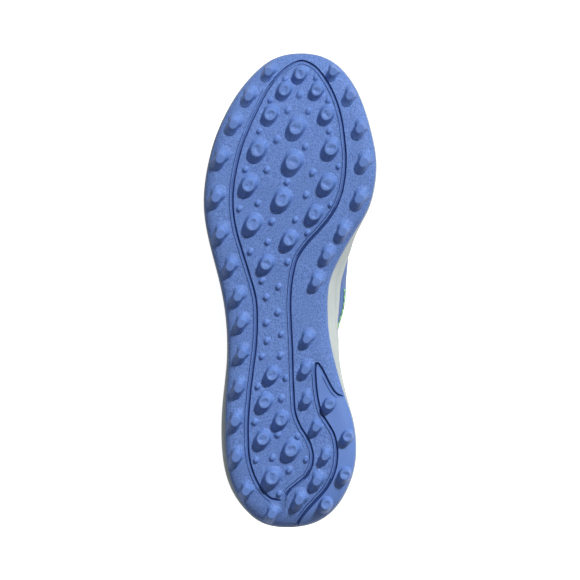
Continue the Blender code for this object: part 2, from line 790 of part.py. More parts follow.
def make_midsole(finish):
    """Moulded foam between outsole and foot, with a rim that holds the upper's foot."""
    edge = OUTSOLE_EDGE_WALL + EDGE_WALL_FLARE + GAP
    rings = [
        outsole_ring(ROLL_WIDTH, OUTSOLE_THICKNESS + GAP),
        outsole_ring(edge, OUTSOLE_THICKNESS + roll(edge) + GAP),
        outsole_ring(OUTSOLE_EDGE_WALL + GAP, OUTSOLE_EDGE_HEIGHT + GAP),
    ]
    foot = outsole_ring(GAP, OUTSOLE_EDGE_HEIGHT + GAP)
    top = rim_ring(1.0, CURVED_GAP + RIM_WALL)
    outward = ring(1.0, 0.0) - ring(0.0, 0.0)
    around = rounds()
    lateral = (around <= 0.5)
    station = foot[:, 0] / SHOE_LENGTH
    bulge = BALL_WIDTH * np.where(
        lateral, SIDES.read("lateral_bulge", station), SIDES.read("medial_bulge", station)
    )
    for share, bulged, stepped in MIDSOLE_SIDE:
        out = (bulge * bulged - SIDE_STEP * stepped)[:, None]
        rings.append(foot + (top - foot) * share + outward * out)
    rings.append(rim_ring(1.0, CURVED_GAP))
    rings.append(rim_ring(0.5, CURVED_GAP))
    rings.append(rim_ring(0.0, CURVED_GAP) - np.array([0, 0, GAP]))
    inner = rim_ring(0.0, -ROLL_WIDTH / 2)
    inner[:, 2] = bed_height(inner[:, 0])
    rings.append(inner)
    return capped_rings("midsole", rings, finish)


def wall_at(around, rise):
    """The upper's wall: thin, and padded towards the collar's edge."""
    toward = np.where(around <= 0.5, around, 1 - around) * 2
    collar = np.clip((COLLAR_END - toward) / 0.12, 0, 1)
    collar = collar**2 * (3 - 2 * collar)
    height = np.clip((rise - 0.45) / 0.35, 0, 1)
    roll_off = np.clip((1.0 - rise) / 0.12, 0, 1)
    return WALL + COLLAR_PAD * collar * height**2 * (3 - 2 * height) * (0.45 + 0.55 * np.sqrt(roll_off))


def make_upper(finish):
    """The shell that holds the foot, open at the collar and throat and underneath."""
    around = rounds()
    rises = np.linspace(0, 1, UPPER_ROWS)
    rings = [upper_point(around, np.full(AROUND, r), np.zeros(AROUND)) for r in rises]
    for r in np.linspace(1, 0, LINING_ROWS):
        rise = np.full(AROUND, r)
        rings.append(upper_point(around, rise, -wall_at(around, rise)))
    faces = ring_faces(AROUND, len(rings), closed=True)
    upper = mesh_object("upper", np.vstack(rings), faces, finish)
    boolean(upper, bpy.data.objects["eyelet_tools"], "DIFFERENCE")
    return upper


def eyelet_places():
    """Each eyelet's (around, rise), a margin below the throat's edge, lateral side first."""
    places = []
    for toward in EYELETS_AROUND:
        for around in (toward / 2, 1 - toward / 2):
            edge = upper_face(around, 1.0)
            rises = np.linspace(0.6, 1.0, 81)
            away = np.linalg.norm(upper_face(np.full(81, around), rises) - edge, axis=1)
            places.append((around, float(np.interp(-EYELET_MARGIN, -away, rises))))
    return places


def make_eyelet_tools():
    """Round bars through the eyelets."""
    work = bmesh.new()
    for around, rise in eyelet_places():
        base, tip = (upper_point(around, rise, reach) for reach in (-3 * WALL, 3 * WALL))
        axis = Vector(tip - base)
        turn = axis.to_track_quat("Z", "Y").to_matrix().to_4x4()
        bmesh.ops.create_cone(
            work,
            cap_ends=True,
            segments=EYELET_SIDES,
            radius1=EYELET_RADIUS,
            radius2=EYELET_RADIUS,
            depth=axis.length,
            matrix=Matrix.Translation(Vector((tip + base) / 2)) @ turn,
        )
    mesh = bpy.data.meshes.new("eyelet_tools")
    work.to_mesh(mesh)
    work.free()
    return helper("eyelet_tools", mesh)


def slab(name, outer, inner, finish):
    """A solid between two grids of points that match row for row."""
    rows, columns = outer.shape[:2]
    points = np.vstack([outer.reshape(-1, 3), inner.reshape(-1, 3)])
    second = rows * columns

    def at(r, c, layer=0):
        return layer * second + r * columns + c

    faces = []
    for layer in (0, 1):
        for r in range(rows - 1):
            for c in range(columns - 1):
                faces.append((at(r, c, layer), at(r, c + 1, layer), at(r + 1, c + 1, layer), at(r + 1, c, layer)))
    border = [(0, c) for c in range(columns)]
    border += [(r, columns - 1) for r in range(1, rows)]
    border += [(rows - 1, c) for c in range(columns - 2, -1, -1)]
    border += [(r, 0) for r in range(rows - 2, 0, -1)]
    for a, b in zip(border, border[1:] + border[:1]):
        faces.append((at(*a), at(*b), at(*b, 1), at(*a, 1)))
    return mesh_object(name, points, faces, finish)


def overlay(name, table, finish, rows, mirrored=False):
    """A film laid on the upper's face between two lines of its table, in the upper's columns."""
    first, last = round(table.station[0] * AROUND), round(table.station[-1] * AROUND)
    around = np.arange(first, last + 1) / AROUND
    low, high = table.read("low", around), table.read("high", around)
    if mirrored:
        around, low, high = 1 - around[::-1], low[::-1], high[::-1]
    above_rim = rim_rise(around % 1.0) + 0.035
    low = np.maximum(low, above_rim)
    high = np.maximum(high, low + 0.02)
    shares = np.linspace(0, 1, rows)[:, None]
    rise = low + (high - low) * shares
    spread = np.broadcast_to(around, rise.shape)
    outer = upper_point(spread, rise, np.full(rise.shape, CURVED_GAP + OVERLAY))
    inner = upper_point(spread, rise, np.full(rise.shape, CURVED_GAP))
    return slab(name, outer, inner, finish)


def make_insole(finish):
    """The footbed: it lies on the midsole inside the upper's foot."""
    around = rounds()
    rings = []
    dished = INSOLE_THICKNESS - INSOLE_DISH_DEPTH
    for height, inward in ((GAP, 0.0), (INSOLE_THICKNESS, INSOLE_EASE), (dished, INSOLE_DISH_WIDTH)):
        level = upper_point(around, np.zeros(AROUND), np.full(AROUND, -WALL - 2 * GAP - inward))
        level[:, 2] = bed_height(level[:, 0]) + height
        rings.append(level)
    return capped_rings("insole", rings, finish)


def make_tongue(finish):
    """A padded tongue under the throat, up past its top."""
    columns, rows = 9, 13
    station = np.linspace(TONGUE.station[0], TONGUE.station[-1], rows)[:, None]
    half = TONGUE.read("half_turn", station[:, 0])[:, None]
    across = np.linspace(-1, 1, columns)[None, :]
    turn = 90 + half * across
    spread = np.broadcast_to(station, turn.shape)
    face = on_last(spread, turn)
    step_station, step_turn = 1e-3, 0.5
    along = on_last(spread + step_station, turn) - on_last(spread - step_station, turn)
    over = on_last(spread, turn + step_turn) - on_last(spread, turn - step_turn)
    normal = np.cross(along, over)
    normal /= np.linalg.norm(normal, axis=-1, keepdims=True)
    pad = 1 - 0.55 * np.abs(across) ** 4
    outer = face - normal * (WALL + 2 * CURVED_GAP)
    inner = outer - normal * TONGUE_THICKNESS * pad[..., None]
    return slab("tongue", outer, inner, finish)


def make_lace_bar(number, finish):
    """One straight run of flat lace from a lateral eyelet over the tongue to the medial one."""
    lateral, medial = eyelet_places()[2 * number : 2 * number + 2]
    top = CURVED_GAP + OVERLAY + 2 * GAP + LACE_THICKNESS / 2
    ends = []
    for around, rise in (lateral, medial):
        climb = [upper_point(around, rise + step, top) for step in (-0.03, 0.0)]
        ends.append([*climb, upper_point(around, 1.0, top + GAP)])
    near, far = ends[0][2], ends[1][2]
    crest = on_last(last_share(near[0]), 90.0) + np.array([0.0, 0.0, GAP])
    bend = np.array([(near[0] + far[0]) / 2, crest[1], max(crest[2], near[2], far[2])])
    pull = 2 * bend - (near + far) / 2
    over = [(1 - t) ** 2 * near + 2 * t * (1 - t) * pull + t**2 * far for t in np.linspace(0, 1, 5)[1:-1]]
    path = np.array([*ends[0], *over, *ends[1][::-1]])
    wide = upper_point(lateral[0] + 0.004, 1.0) - upper_point(lateral[0] - 0.004, 1.0)
    wide[1] = 0.0
    wide /= np.linalg.norm(wide)
    tangent = np.gradient(path, axis=0)
    narrow = (0.5, 0.85, 1.0, 1.0, 1.0, 1.0, 1.0, 0.85, 0.5)
    rings = []
    for point, direction, share in zip(path, tangent, narrow):
        across = wide - direction * np.dot(wide, direction) / np.dot(direction, direction)
        across /= np.linalg.norm(across)
        thick = np.cross(direction, across)
        thick /= np.linalg.norm(thick)
        section = []
        for corner in range(8):
            angle = 2 * np.pi * (corner + 0.5) / 8
            reach = across * LACE_WIDTH / 2 * share * math.copysign(abs(math.cos(angle)) ** 0.6, math.cos(angle))
            section.append(point + reach + thick * LACE_THICKNESS / 2 * math.sin(angle))
        rings.append(section)
    points = np.vstack(rings)
    faces = ring_faces(8, len(rings))
    last = 8 * (len(rings) - 1)
    faces += [tuple(range(8)), tuple(range(last, last + 8))]
    return mesh_object(f"lace_bar_{number + 1}", points, faces, finish)


def settle_on_side(pieces):
    """The matrix that lays the shoe down: of its convex hull's faces on the lateral side, the one
    that its centre of mass stands over goes to the floor, and the heel to toe line along -X."""
    finished = bpy.context.evaluated_depsgraph_get()
    points, weighted, volume = [], Vector(), 0.0
    for piece in pieces:
        work = bmesh.new()
        work.from_object(piece, finished)
        bmesh.ops.triangulate(work, faces=work.faces)
        for face in work.faces:
            a, b, c = (v.co for v in face.verts)
            part = a.dot(b.cross(c)) / 6
            weighted += (a + b + c) / 4 * part
            volume += part
        points += [v.co.copy() for v in work.verts]
        work.free()
    centre = weighted / volume
    hull = bmesh.new()
    for point in points:
        hull.verts.new(point)
    bmesh.ops.convex_hull(hull, input=hull.verts)
    bmesh.ops.delete(hull, geom=[v for v in hull.verts if not v.link_faces], context="VERTS")
    down = None
    for face in hull.faces:
        outward = face.normal if face.normal.dot(face.calc_center_median() - centre) > 0 else -face.normal
        if outward.y > -0.8:
            continue
        corners = [v.co for v in face.verts]
        foot = centre + outward * (corners[0] - centre).dot(outward)
        turns = [
            (b - a).cross(foot - a).dot(outward)
            for a, b in zip(corners, corners[1:] + corners[:1])
        ]
        if min(turns) > 0 or max(turns) < 0:
            down = outward.copy()
    hull.free()
    up = -down
    forward = Vector((1, 0, 0))
    forward = (forward - up * forward.dot(up)).normalized()
    side = up.cross(-forward)
    turned = Matrix((-forward, side, up)).to_4x4()
    laid = [turned @ p for p in points]
    low = [min(p[i] for p in laid) for i in range(3)]
    high = [max(p[i] for p in laid) for i in range(3)]
    moved = Matrix.Translation((-(low[0] + high[0]) / 2, -(low[1] + high[1]) / 2, -low[2]))
    return moved @ turned


def build():
    clear_scene()
    rubber = material("blue rubber", BLUE_RUBBER, 0.62)
    foam = material("pale foam", PALE_FOAM, 0.70)
    knit = material("blue knit", BLUE_KNIT, 0.85)
    film = material("blue film", BLUE_FILM, 0.50)
    lining = material("green lining", GREEN_LINING, 0.90)
    cord = material("pale cord", PALE_CORD, 0.85)
    make_eyelet_tools()
    pieces = [make_outsole(rubber), make_midsole(foam), make_upper(knit)]
    pieces.append(make_insole(lining))
    pieces.append(make_tongue(knit))
    pieces.append(overlay("toe_cap", TOE_CAP, film, 5))
    pieces.append(overlay("heel_counter", HEEL_COUNTER, film, 6))
    eyestay = overlay("eyestay", EYESTAY, film, 3)
    boolean(eyestay, bpy.data.objects["eyelet_tools"], "DIFFERENCE")
    pieces.append(eyestay)
    pieces.append(overlay("saddle_lateral", SADDLE, film, 7))
    pieces.append(overlay("saddle_medial", SADDLE, film, 7, mirrored=True))
    for number in range(len(EYELETS_AROUND)):
        pieces.append(make_lace_bar(number, cord))
    pose = bpy.data.objects.new("shoe_on_its_side", None)
    bpy.context.scene.collection.objects.link(pose)
    for made in bpy.data.objects:
        if made.type == "MESH":
            made.parent = pose
    pose.matrix_world = settle_on_side(pieces)
    return pieces


PIECES = build()
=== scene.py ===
"""A right turf shoe on its outer side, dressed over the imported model."""

import json
import math

import bmesh
import bpy
import numpy as np
from mathutils import Matrix, Vector


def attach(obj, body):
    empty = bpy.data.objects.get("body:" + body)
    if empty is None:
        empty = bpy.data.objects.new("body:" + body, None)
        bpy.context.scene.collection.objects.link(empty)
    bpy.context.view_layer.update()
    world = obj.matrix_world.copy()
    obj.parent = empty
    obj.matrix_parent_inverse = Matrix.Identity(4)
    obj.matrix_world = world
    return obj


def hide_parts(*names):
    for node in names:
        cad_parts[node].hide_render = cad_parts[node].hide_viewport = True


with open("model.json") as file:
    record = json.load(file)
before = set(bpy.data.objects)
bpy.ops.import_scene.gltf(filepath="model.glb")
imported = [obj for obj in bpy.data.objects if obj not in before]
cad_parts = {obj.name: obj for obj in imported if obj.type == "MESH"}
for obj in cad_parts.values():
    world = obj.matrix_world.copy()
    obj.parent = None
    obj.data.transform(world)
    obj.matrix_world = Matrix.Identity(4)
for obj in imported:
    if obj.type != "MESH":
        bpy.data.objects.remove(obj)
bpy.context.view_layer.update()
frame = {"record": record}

# The shoe's own frame
# The shoe is worked out upright, as a shoemaker measures it: x from heel to toe, y to the inner
# side and z up from the ground. The two tread mounts say where that frame lies in the model.
SHOE_LENGTH = 0.300
BALL_WIDTH = 0.109
TOE_SPRING = 0.018
LUG_HEIGHT = 0.0055
HEEL_TIP = (0.186, -0.162)
FOREFOOT_TIP = (0.689, -0.051)


def cubic(first, last, leave, arrive, t):
    """Between two values, with the slopes given at both ends."""
    start = first * (1 + 2 * t) * (1 - t) ** 2 + leave * t * (1 - t) ** 2
    return start + last * t**2 * (3 - 2 * t) + arrive * t**2 * (t - 1)


class Table:
    """Rows with named columns. A column is read on a smooth curve through its rows."""

    def __init__(self, names, *rows):
        columns = np.array(rows, float).T
        self.station = columns[0]
        self.columns = dict(zip(names.split()[1:], columns[1:]))

    def read(self, name, station):
        knots, values = self.station, self.columns[name]
        slopes = np.gradient(values, knots)
        station = np.clip(station, knots[0], knots[-1])
        i = np.clip(np.searchsorted(knots, station) - 1, 0, len(knots) - 2)
        span = knots[i + 1] - knots[i]
        t = (station - knots[i]) / span
        return cubic(values[i], values[i + 1], slopes[i] * span, slopes[i + 1] * span, t)


# Side profile: tread as a share of the toe spring, bed of the heel stack, rim of the rim's height
# and ridge of the instep's height.
PROFILE = Table(
    "station tread bed rim ridge",
    (0.00, 0.40, 1.09, 1.10, 1.105),
    (0.05, 0.17, 1.03, 1.10, 1.105),
    (0.11, 0.03, 1.00, 1.05, 1.105),
    (0.18, 0.00, 0.98, 1.00, 1.100),
    (0.30, 0.02, 0.95, 1.10, 1.065),
    (0.38, 0.05, 0.92, 1.35, 1.000),
    (0.45, 0.06, 0.87, 1.15, 0.925),
    (0.52, 0.04, 0.82, 0.90, 0.825),
    (0.60, 0.01, 0.75, 0.80, 0.700),
    (0.67, 0.00, 0.69, 0.75, 0.605),
    (0.74, 0.02, 0.67, 0.75, 0.535),
    (0.82, 0.14, 0.72, 0.80, 0.480),
    (0.89, 0.38, 0.84, 0.90, 0.450),
    (0.95, 0.68, 1.00, 1.00, 0.435),
    (1.00, 1.00, 1.16, 1.05, 0.430),
)


def tread_height(x):
    """Height of the outsole's flat underside above the plane of the lug tips."""
    return LUG_HEIGHT + TOE_SPRING * PROFILE.read("tread", x / SHOE_LENGTH)


def tip_of(place):
    x, y = place[0] * SHOE_LENGTH, place[1] * BALL_WIDTH
    return np.array([x, y, float(tread_height(x)) - LUG_HEIGHT])


def unit(vectors):
    return vectors / np.maximum(np.linalg.norm(vectors, axis=-1, keepdims=True), 1e-12)


def axes_of(forward, up):
    """Three square axes as columns, from a rough forward direction and an exact up."""
    up = unit(up)
    forward = unit(forward - up * forward.dot(up))
    return np.column_stack([forward, np.cross(up, forward), up])


mounts = {m["name"]: m for m in frame["record"]["mounts"]}
heel_mount = np.array(mounts["heel_tread"]["pos_m"])
forefoot_mount = np.array(mounts["forefoot_tread"]["pos_m"])
down = np.array(mounts["heel_tread"]["axis"])
laid = axes_of(forefoot_mount - heel_mount, -down)
TURN = laid @ axes_of(tip_of(FOREFOOT_TIP) - tip_of(HEEL_TIP), np.array([0.0, 0.0, 1.0])).T
SHIFT = heel_mount - TURN @ tip_of(HEEL_TIP)


def to_row(points):
    """Points of the shoe's own frame in the model's frame."""
    return np.asarray(points) @ TURN.T + SHIFT


# Outsole
# One moulding of blue rubber: a 3 mm plate that curls up at its edge, cut by two loops of groove
# with a fine line beside each, and set with lugs and nubs. It is glued to the midsole.
OUTSOLE_THICKNESS = 0.003
OUTSOLE_EDGE_HEIGHT = 0.0065
OUTSOLE_EDGE_WALL = 0.0025
EDGE_WALL_FLARE = 0.0007
ROLL_WIDTH = 0.008
ROLL_HEIGHT = 0.005
LIP = 0.0004
SOLE_COLUMNS = 480
DENSE = 1440
MIDDLE_LENGTH = 0.92

# The outline in plan: how far each side lies from the middle line, as a share of the ball width.
OUTLINE = Table(
    "station lateral medial",
    (0.013, 0.180, 0.160),
    (0.040, 0.262, 0.256),
    (0.080, 0.328, 0.326),
    (0.130, 0.366, 0.370),
    (0.180, 0.378, 0.377),
    (0.230, 0.379, 0.356),
    (0.280, 0.373, 0.311),
    (0.340, 0.362, 0.262),
    (0.400, 0.363, 0.226),
    (0.460, 0.378, 0.214),
    (0.520, 0.410, 0.230),
    (0.570, 0.446, 0.290),
    (0.620, 0.479, 0.369),
    (0.670, 0.498, 0.448),
    (0.720, 0.494, 0.486),
    (0.770, 0.471, 0.495),
    (0.820, 0.433, 0.474),
    (0.870, 0.375, 0.438),
    (0.920, 0.294, 0.384),
    (0.960, 0.200, 0.311),
    (0.985, 0.113, 0.230),
)
TOE_CENTRE = 0.058


def closed_spline(points, count):
    """count points along a closed cubic spline through the given points."""
    points = np.asarray(points, float)
    n = len(points)
    chord = np.linalg.norm(np.roll(points, -1, 0) - points, axis=1)
    before = np.roll(chord, 1)
    system = np.zeros((n, n))
    rows = np.arange(n)
    system[rows, (rows - 1) % n] = chord
    system[rows, rows] = 2 * (before + chord)
    system[rows, (rows + 1) % n] = before
    slope = (np.roll(points, -1, 0) - points) / chord[:, None]
    right = 3 * (chord[:, None] * np.roll(slope, 1, 0) + before[:, None] * slope)
    tangent = np.linalg.solve(system, right)
    place = np.linspace(0, n, count, endpoint=False)
    i = place.astype(int)
    j = (i + 1) % n
    t = (place - i)[:, None]
    span = chord[i][:, None]
    return cubic(points[i], points[j], tangent[i] * span, tangent[j] * span, t)


def walked(points):
    """The length from the first row of points to each row."""
    steps = np.linalg.norm(np.diff(points, axis=0), axis=-1)
    return np.concatenate([np.zeros_like(steps[:1]), np.cumsum(steps, axis=0)])


def open_spline(points, pitch):
    """Points about one pitch apart on a smooth open curve through the given points."""
    length = walked(points)
    table = Table("length x y", *np.column_stack([length, points]))
    places = np.linspace(0, length[-1], int(length[-1] / pitch) + 1)
    return np.column_stack([table.read("x", places), table.read("y", places)])


def normals_of(curve):
    tangent = unit(np.roll(curve, -1, 0) - np.roll(curve, 1, 0))
    return np.column_stack([tangent[:, 1], -tangent[:, 0]])


def from_heel(curve):
    """The same closed curve, begun at its rearmost point."""
    return np.roll(curve, -int(np.argmin(curve[:, 0])), 0)


def outline_points():
    """The outline as a dense closed curve, from the heel along the lateral side and back."""
    lateral = np.column_stack([OUTLINE.station, -OUTLINE.columns["lateral"]])
    medial = np.column_stack([OUTLINE.station, OUTLINE.columns["medial"]])
    knots = np.vstack([[(0.0, 0.0)], lateral, [(1.0, TOE_CENTRE)], medial[::-1]])
    return from_heel(closed_spline(knots * (SHOE_LENGTH, BALL_WIDTH), DENSE))


OUTLINE_CURVE = outline_points()
OUTLINE_NORMAL = normals_of(OUTLINE_CURVE)


def around_shoe(count):
    """Places around the shoe for a closed grid: 0 at the heel, a half at the toe and 1 at the
    heel again."""
    return np.arange(count + 1) / count


def station_of(around):
    return (1 - np.cos(2 * np.pi * around)) / 2


def ring(outward, count):
    """A closed ring in plan that follows the outline, moved outward."""
    curve, normal = OUTLINE_CURVE, OUTLINE_NORMAL
    toe = int(np.argmax(curve[:, 0]))
    around = around_shoe(count)
    x = station_of(around) * SHOE_LENGTH
    indices = np.arange(len(curve) + 1)
    dense_x = np.append(curve[:, 0], curve[0, 0])
    lateral = np.interp(x, dense_x[: toe + 1], indices[: toe + 1])
    medial = np.interp(x, dense_x[toe:][::-1], indices[toe:][::-1])
    place = np.where(around <= 0.5, lateral, medial)
    flat = [np.interp(place, indices, np.append(v, v[0])) for v in (*curve.T, *normal.T)]
    outward = np.broadcast_to(outward, around.shape)
    flat = np.column_stack([flat[0] + flat[2] * outward, flat[1] + flat[3] * outward])
    flat[-1] = flat[0]
    return flat


def roll(inset):
    """How far the tread curls up at a distance inside the outline."""
    share = np.clip(1 - inset / ROLL_WIDTH, 0, 1)
    return ROLL_HEIGHT * (1 - np.sqrt(1 - share**2))


def inset_of(points):
    """How far points lie inside the outline, negative outside it."""
    points = np.asarray(points, float).reshape(-1, 2)
    away = points[:, None, :] - OUTLINE_CURVE[None, ::4, :]
    nearest = np.argmin((away**2).sum(axis=2), axis=1)
    chosen = away[np.arange(len(points)), nearest]
    return -(chosen * OUTLINE_NORMAL[::4][nearest]).sum(axis=1)


def underside(points):
    """Height of the tread's underside at points in plan, its curled edge included."""
    points = np.asarray(points, float).reshape(-1, 2)
    return tread_height(points[:, 0]) + roll(np.maximum(inset_of(points), 0.0))


def middle_line(row):
    """The line midway between a closed row's two sides, a little shorter than the row."""
    middle = (row + row[::-1]) / 2
    middle[:, 0] = middle[:, 0] * MIDDLE_LENGTH + (1 - MIDDLE_LENGTH) / 2 * SHOE_LENGTH
    return middle


def sole_row(inset, height, share=0.0, count=SOLE_COLUMNS):
    """A row of the sole's grid at a distance inside the outline, or share of the way from there
    to the middle line, height above the tread's underside."""
    flat = ring(-inset, count)
    flat = flat + (middle_line(flat) - flat) * share
    return np.column_stack([flat, tread_height(flat[:, 0]) + height])


def outsole_rows():
    """The moulding's section from the middle line under the plate, round the curled edge and back
    over the plate: how far inside the outline, height, and share of the way to the middle line."""
    inner = OUTSOLE_EDGE_WALL + EDGE_WALL_FLARE
    rows = [(ROLL_WIDTH, 0.0, s) for s in np.linspace(1, 0, 13)]
    curl = ROLL_WIDTH * (1 - np.sin(np.linspace(0.12, 1, 12) * np.pi / 2))
    rows += [(inset, float(roll(inset)), 0.0) for inset in curl]
    top = OUTSOLE_EDGE_HEIGHT
    rows += [(0.0, top - LIP, 0.0), (0.3 * LIP, top - 0.3 * LIP, 0.0), (LIP, top, 0.0)]
    rows += [(OUTSOLE_EDGE_WALL, top, 0.0), (inner, OUTSOLE_THICKNESS + float(roll(inner)), 0.0)]
    rows += [(ROLL_WIDTH, OUTSOLE_THICKNESS, s) for s in np.linspace(0, 1, 6)]
    return np.array([sole_row(*row) for row in rows])


# Grooves: the loop round the centre panel, from the heel forward along the lateral side and back
# along the medial side, and the one round the heel's inner panel. Each row is a place on the
# tread, along as a share of the length and across of the ball width.
CENTRE_GROOVE = (
    (0.056, -0.056), (0.060, -0.114), (0.079, -0.167), (0.107, -0.210), (0.142, -0.239),
    (0.188, -0.249), (0.233, -0.247), (0.282, -0.236), (0.331, -0.220), (0.380, -0.203),
    (0.432, -0.196), (0.478, -0.202), (0.536, -0.244), (0.582, -0.283), (0.624, -0.316),
    (0.666, -0.335), (0.711, -0.335), (0.757, -0.316), (0.799, -0.287), (0.841, -0.244),
    (0.879, -0.196), (0.918, -0.142), (0.949, -0.080), (0.974, -0.003), (0.984, 0.065),
    (0.974, 0.132), (0.951, 0.190), (0.921, 0.238), (0.890, 0.272), (0.855, 0.296),
    (0.816, 0.310), (0.781, 0.318), (0.743, 0.313), (0.701, 0.291), (0.659, 0.238),
    (0.624, 0.161), (0.593, 0.084), (0.565, 0.035), (0.533, 0.012), (0.478, -0.003),
    (0.432, 0.000), (0.380, 0.007), (0.282, 0.016), (0.240, 0.026), (0.212, 0.055),
    (0.184, 0.103), (0.156, 0.127), (0.132, 0.123), (0.107, 0.089), (0.090, 0.035),
    (0.072, -0.020), (0.060, -0.034),
)
HEEL_GROOVE = (
    (-0.006, 0.026), (0.016, 0.055), (0.035, 0.094), (0.058, 0.151), (0.083, 0.209),
    (0.111, 0.248), (0.142, 0.267), (0.170, 0.267), (0.198, 0.248), (0.219, 0.214),
    (0.240, 0.180), (0.265, 0.159), (0.293, 0.148), (0.324, 0.142), (0.341, 0.143),
    (0.347, 0.152), (0.342, 0.165), (0.321, 0.199), (0.300, 0.228), (0.286, 0.252),
    (0.278, 0.277), (0.276, 0.306),
)
GROOVE_PITCH = 0.0010
LINE_ASIDE = 0.0021
# A groove's half width, its depth and how far its mouth is moved towards the outer heel.
GROOVE_SHAPE = (0.00100, 0.0019, 0.0001)
LINE_SHAPE = (0.00033, 0.0006, 0.0)
STEEP_WALL = np.array([0.8, 0.6])


def left_of(path):
    """The direction to the left of a path in plan, at each of its points."""
    tangent = unit(np.gradient(path, axis=0))
    return np.column_stack([-tangent[:, 1], tangent[:, 0]])


def groove_path(rows, aside=0.0, start=0, end=-1):
    """The groove's middle line in plan, moved aside to its left, between two of its rows."""
    knots = np.array(rows) * (SHOE_LENGTH, BALL_WIDTH)
    path = open_spline(knots, GROOVE_PITCH / 2)
    for _ in range(8):
        path[1:-1] = (path[:-2] + 2 * path[1:-1] + path[2:]) / 4
    path = path[::2]
    first, last = (int(np.argmin(np.linalg.norm(path - knots[i], axis=1))) for i in (start, end))
    path = path + left_of(path) * aside
    return path[first : last + 1]


GROOVES = {
    "centre_groove": groove_path(CENTRE_GROOVE),
    "heel_groove": groove_path(HEEL_GROOVE),
}
FINE_LINES = {
    "outer_line": groove_path(CENTRE_GROOVE, -LINE_ASIDE, 1, 21),
    "inner_line": groove_path(CENTRE_GROOVE, LINE_ASIDE, 22, -2),
    "heel_line": groove_path(HEEL_GROOVE, -LINE_ASIDE, 1, 13),
    "hairpin_line": groove_path(HEEL_GROOVE, LINE_ASIDE, 17, 20),
}
GROOVE_CLOUD = np.vstack([*GROOVES.values(), *FINE_LINES.values()])


def read_all(items, key, kind=float, size=1):
    """One property of all the items, a row for each."""
    values = np.empty(len(items) * size, kind)
    items.foreach_get(key, values)
    return values.reshape(-1, size) if size > 1 else values


def surface(name, points, finishes, split=None):
    """A grid primitive laid on rows x columns of points and welded where its edges meet. UVs run
    in metres, along the columns' direction first. Rows from split on take the second finish."""
    points = np.asarray(points, float)
    rows, columns = points.shape[:2]
    bpy.ops.mesh.primitive_grid_add(x_subdivisions=columns - 1, y_subdivisions=rows - 1, size=1.0)
    piece = bpy.context.object
    piece.name = name
    mesh = piece.data
    mesh.name = name
    flat = read_all(mesh.vertices, "co", size=3)
    column = np.rint((flat[:, 0] + 0.5) * (columns - 1)).astype(int)
    row = np.rint((flat[:, 1] + 0.5) * (rows - 1)).astype(int)
    mesh.vertices.foreach_set("co", to_row(points[row, column]).ravel())
    along, up = walked(points[rows // 3]), walked(points)
    corner = read_all(mesh.loops, "vertex_index", int)
    lengths = np.column_stack([along[column[corner]], up[row[corner], column[corner]]])
    mesh.uv_layers[0].data.foreach_set("uv", lengths.ravel())
    for finish in finishes:
        mesh.materials.append(finish)
    if split is not None:
        starts = read_all(mesh.polygons, "loop_start", int)
        mesh.polygons.foreach_set("material_index", (row[corner[starts]] >= split).astype(int))
    work = bmesh.new()
    work.from_mesh(mesh)
    bmesh.ops.remove_doubles(work, verts=work.verts, dist=1e-6)
    bmesh.ops.recalc_face_normals(work, faces=work.faces)
    work.to_mesh(mesh)
    work.free()
    mesh.shade_smooth()
    return piece


def capped(rows, start, end):
    """A tube's rows with each end drawn in to a point."""
    start, end = (np.broadcast_to(point, (len(rows), 1, 3)) for point in (start, end))
    return np.concatenate([start, rows, end], axis=1)


def groove_tool(name, path, shape, finish):
    """A V-shaped bar along a path, pointed at both ends, sunk in the underside."""
    half, depth, mouth = shape
    outside, flush, bottom = -0.0009, 0.00005, 0.00012
    side = left_of(path)
    under = underside(path)
    place = np.arange(len(path))
    fade = np.clip(np.minimum(place + 0.35, place[::-1] + 0.35) / 2.5, 0, 1) ** 0.5
    lean = np.clip(side @ STEEP_WALL * 1.6, -1, 1)
    corners = [(-half, mouth, outside), (half, mouth, outside), (half, mouth, flush)]
    corners += [(bottom, 0.0, depth), (-bottom, 0.0, depth), (-half, mouth, flush)]
    rings = []
    for across, aside, deep in [*corners, corners[0]]:
        sunk = under + deep * (fade if deep > 0 else 1.0)
        rings.append(np.column_stack([path + side * ((across - aside * lean) * fade)[:, None], sunk]))
    rings = np.array(rings)
    start, end = rings[:-1, 0].mean(axis=0), rings[:-1, -1].mean(axis=0)
    return surface(name, capped(rings, start, end), [finish])


def join(target, others):
    """Joins the others into the target."""
    bpy.ops.object.select_all(action="DESELECT")
    for other in others:
        other.select_set(True)
    target.select_set(True)
    bpy.context.view_layer.objects.active = target
    bpy.ops.object.join()


def cut_out(target, tools):
    """Cuts the tools out of the target and drops them."""
    join(tools[0], tools[1:])
    bpy.context.view_layer.objects.active = target
    cut = target.modifiers.new("cut", "BOOLEAN")
    cut.operation = "DIFFERENCE"
    cut.solver = "MANIFOLD"
    cut.material_mode = "TRANSFER"
    cut.object = tools[0]
    bpy.ops.object.modifier_apply(modifier=cut.name)
    bpy.data.objects.remove(tools[0], do_unlink=True)


def inside(loop, points):
    """Whether points lie inside a closed loop in plan."""
    found = np.zeros(len(points), bool)
    before = np.roll(loop, 1, axis=0)
    for (x1, y1), (x2, y2) in zip(before, loop):
        crosses = (y1 > points[:, 1]) != (y2 > points[:, 1])
        with np.errstate(divide="ignore", invalid="ignore"):
            at = (x2 - x1) * (points[:, 1] - y1) / (y2 - y1) + x1
        found ^= crosses & (points[:, 0] < at)
    return found


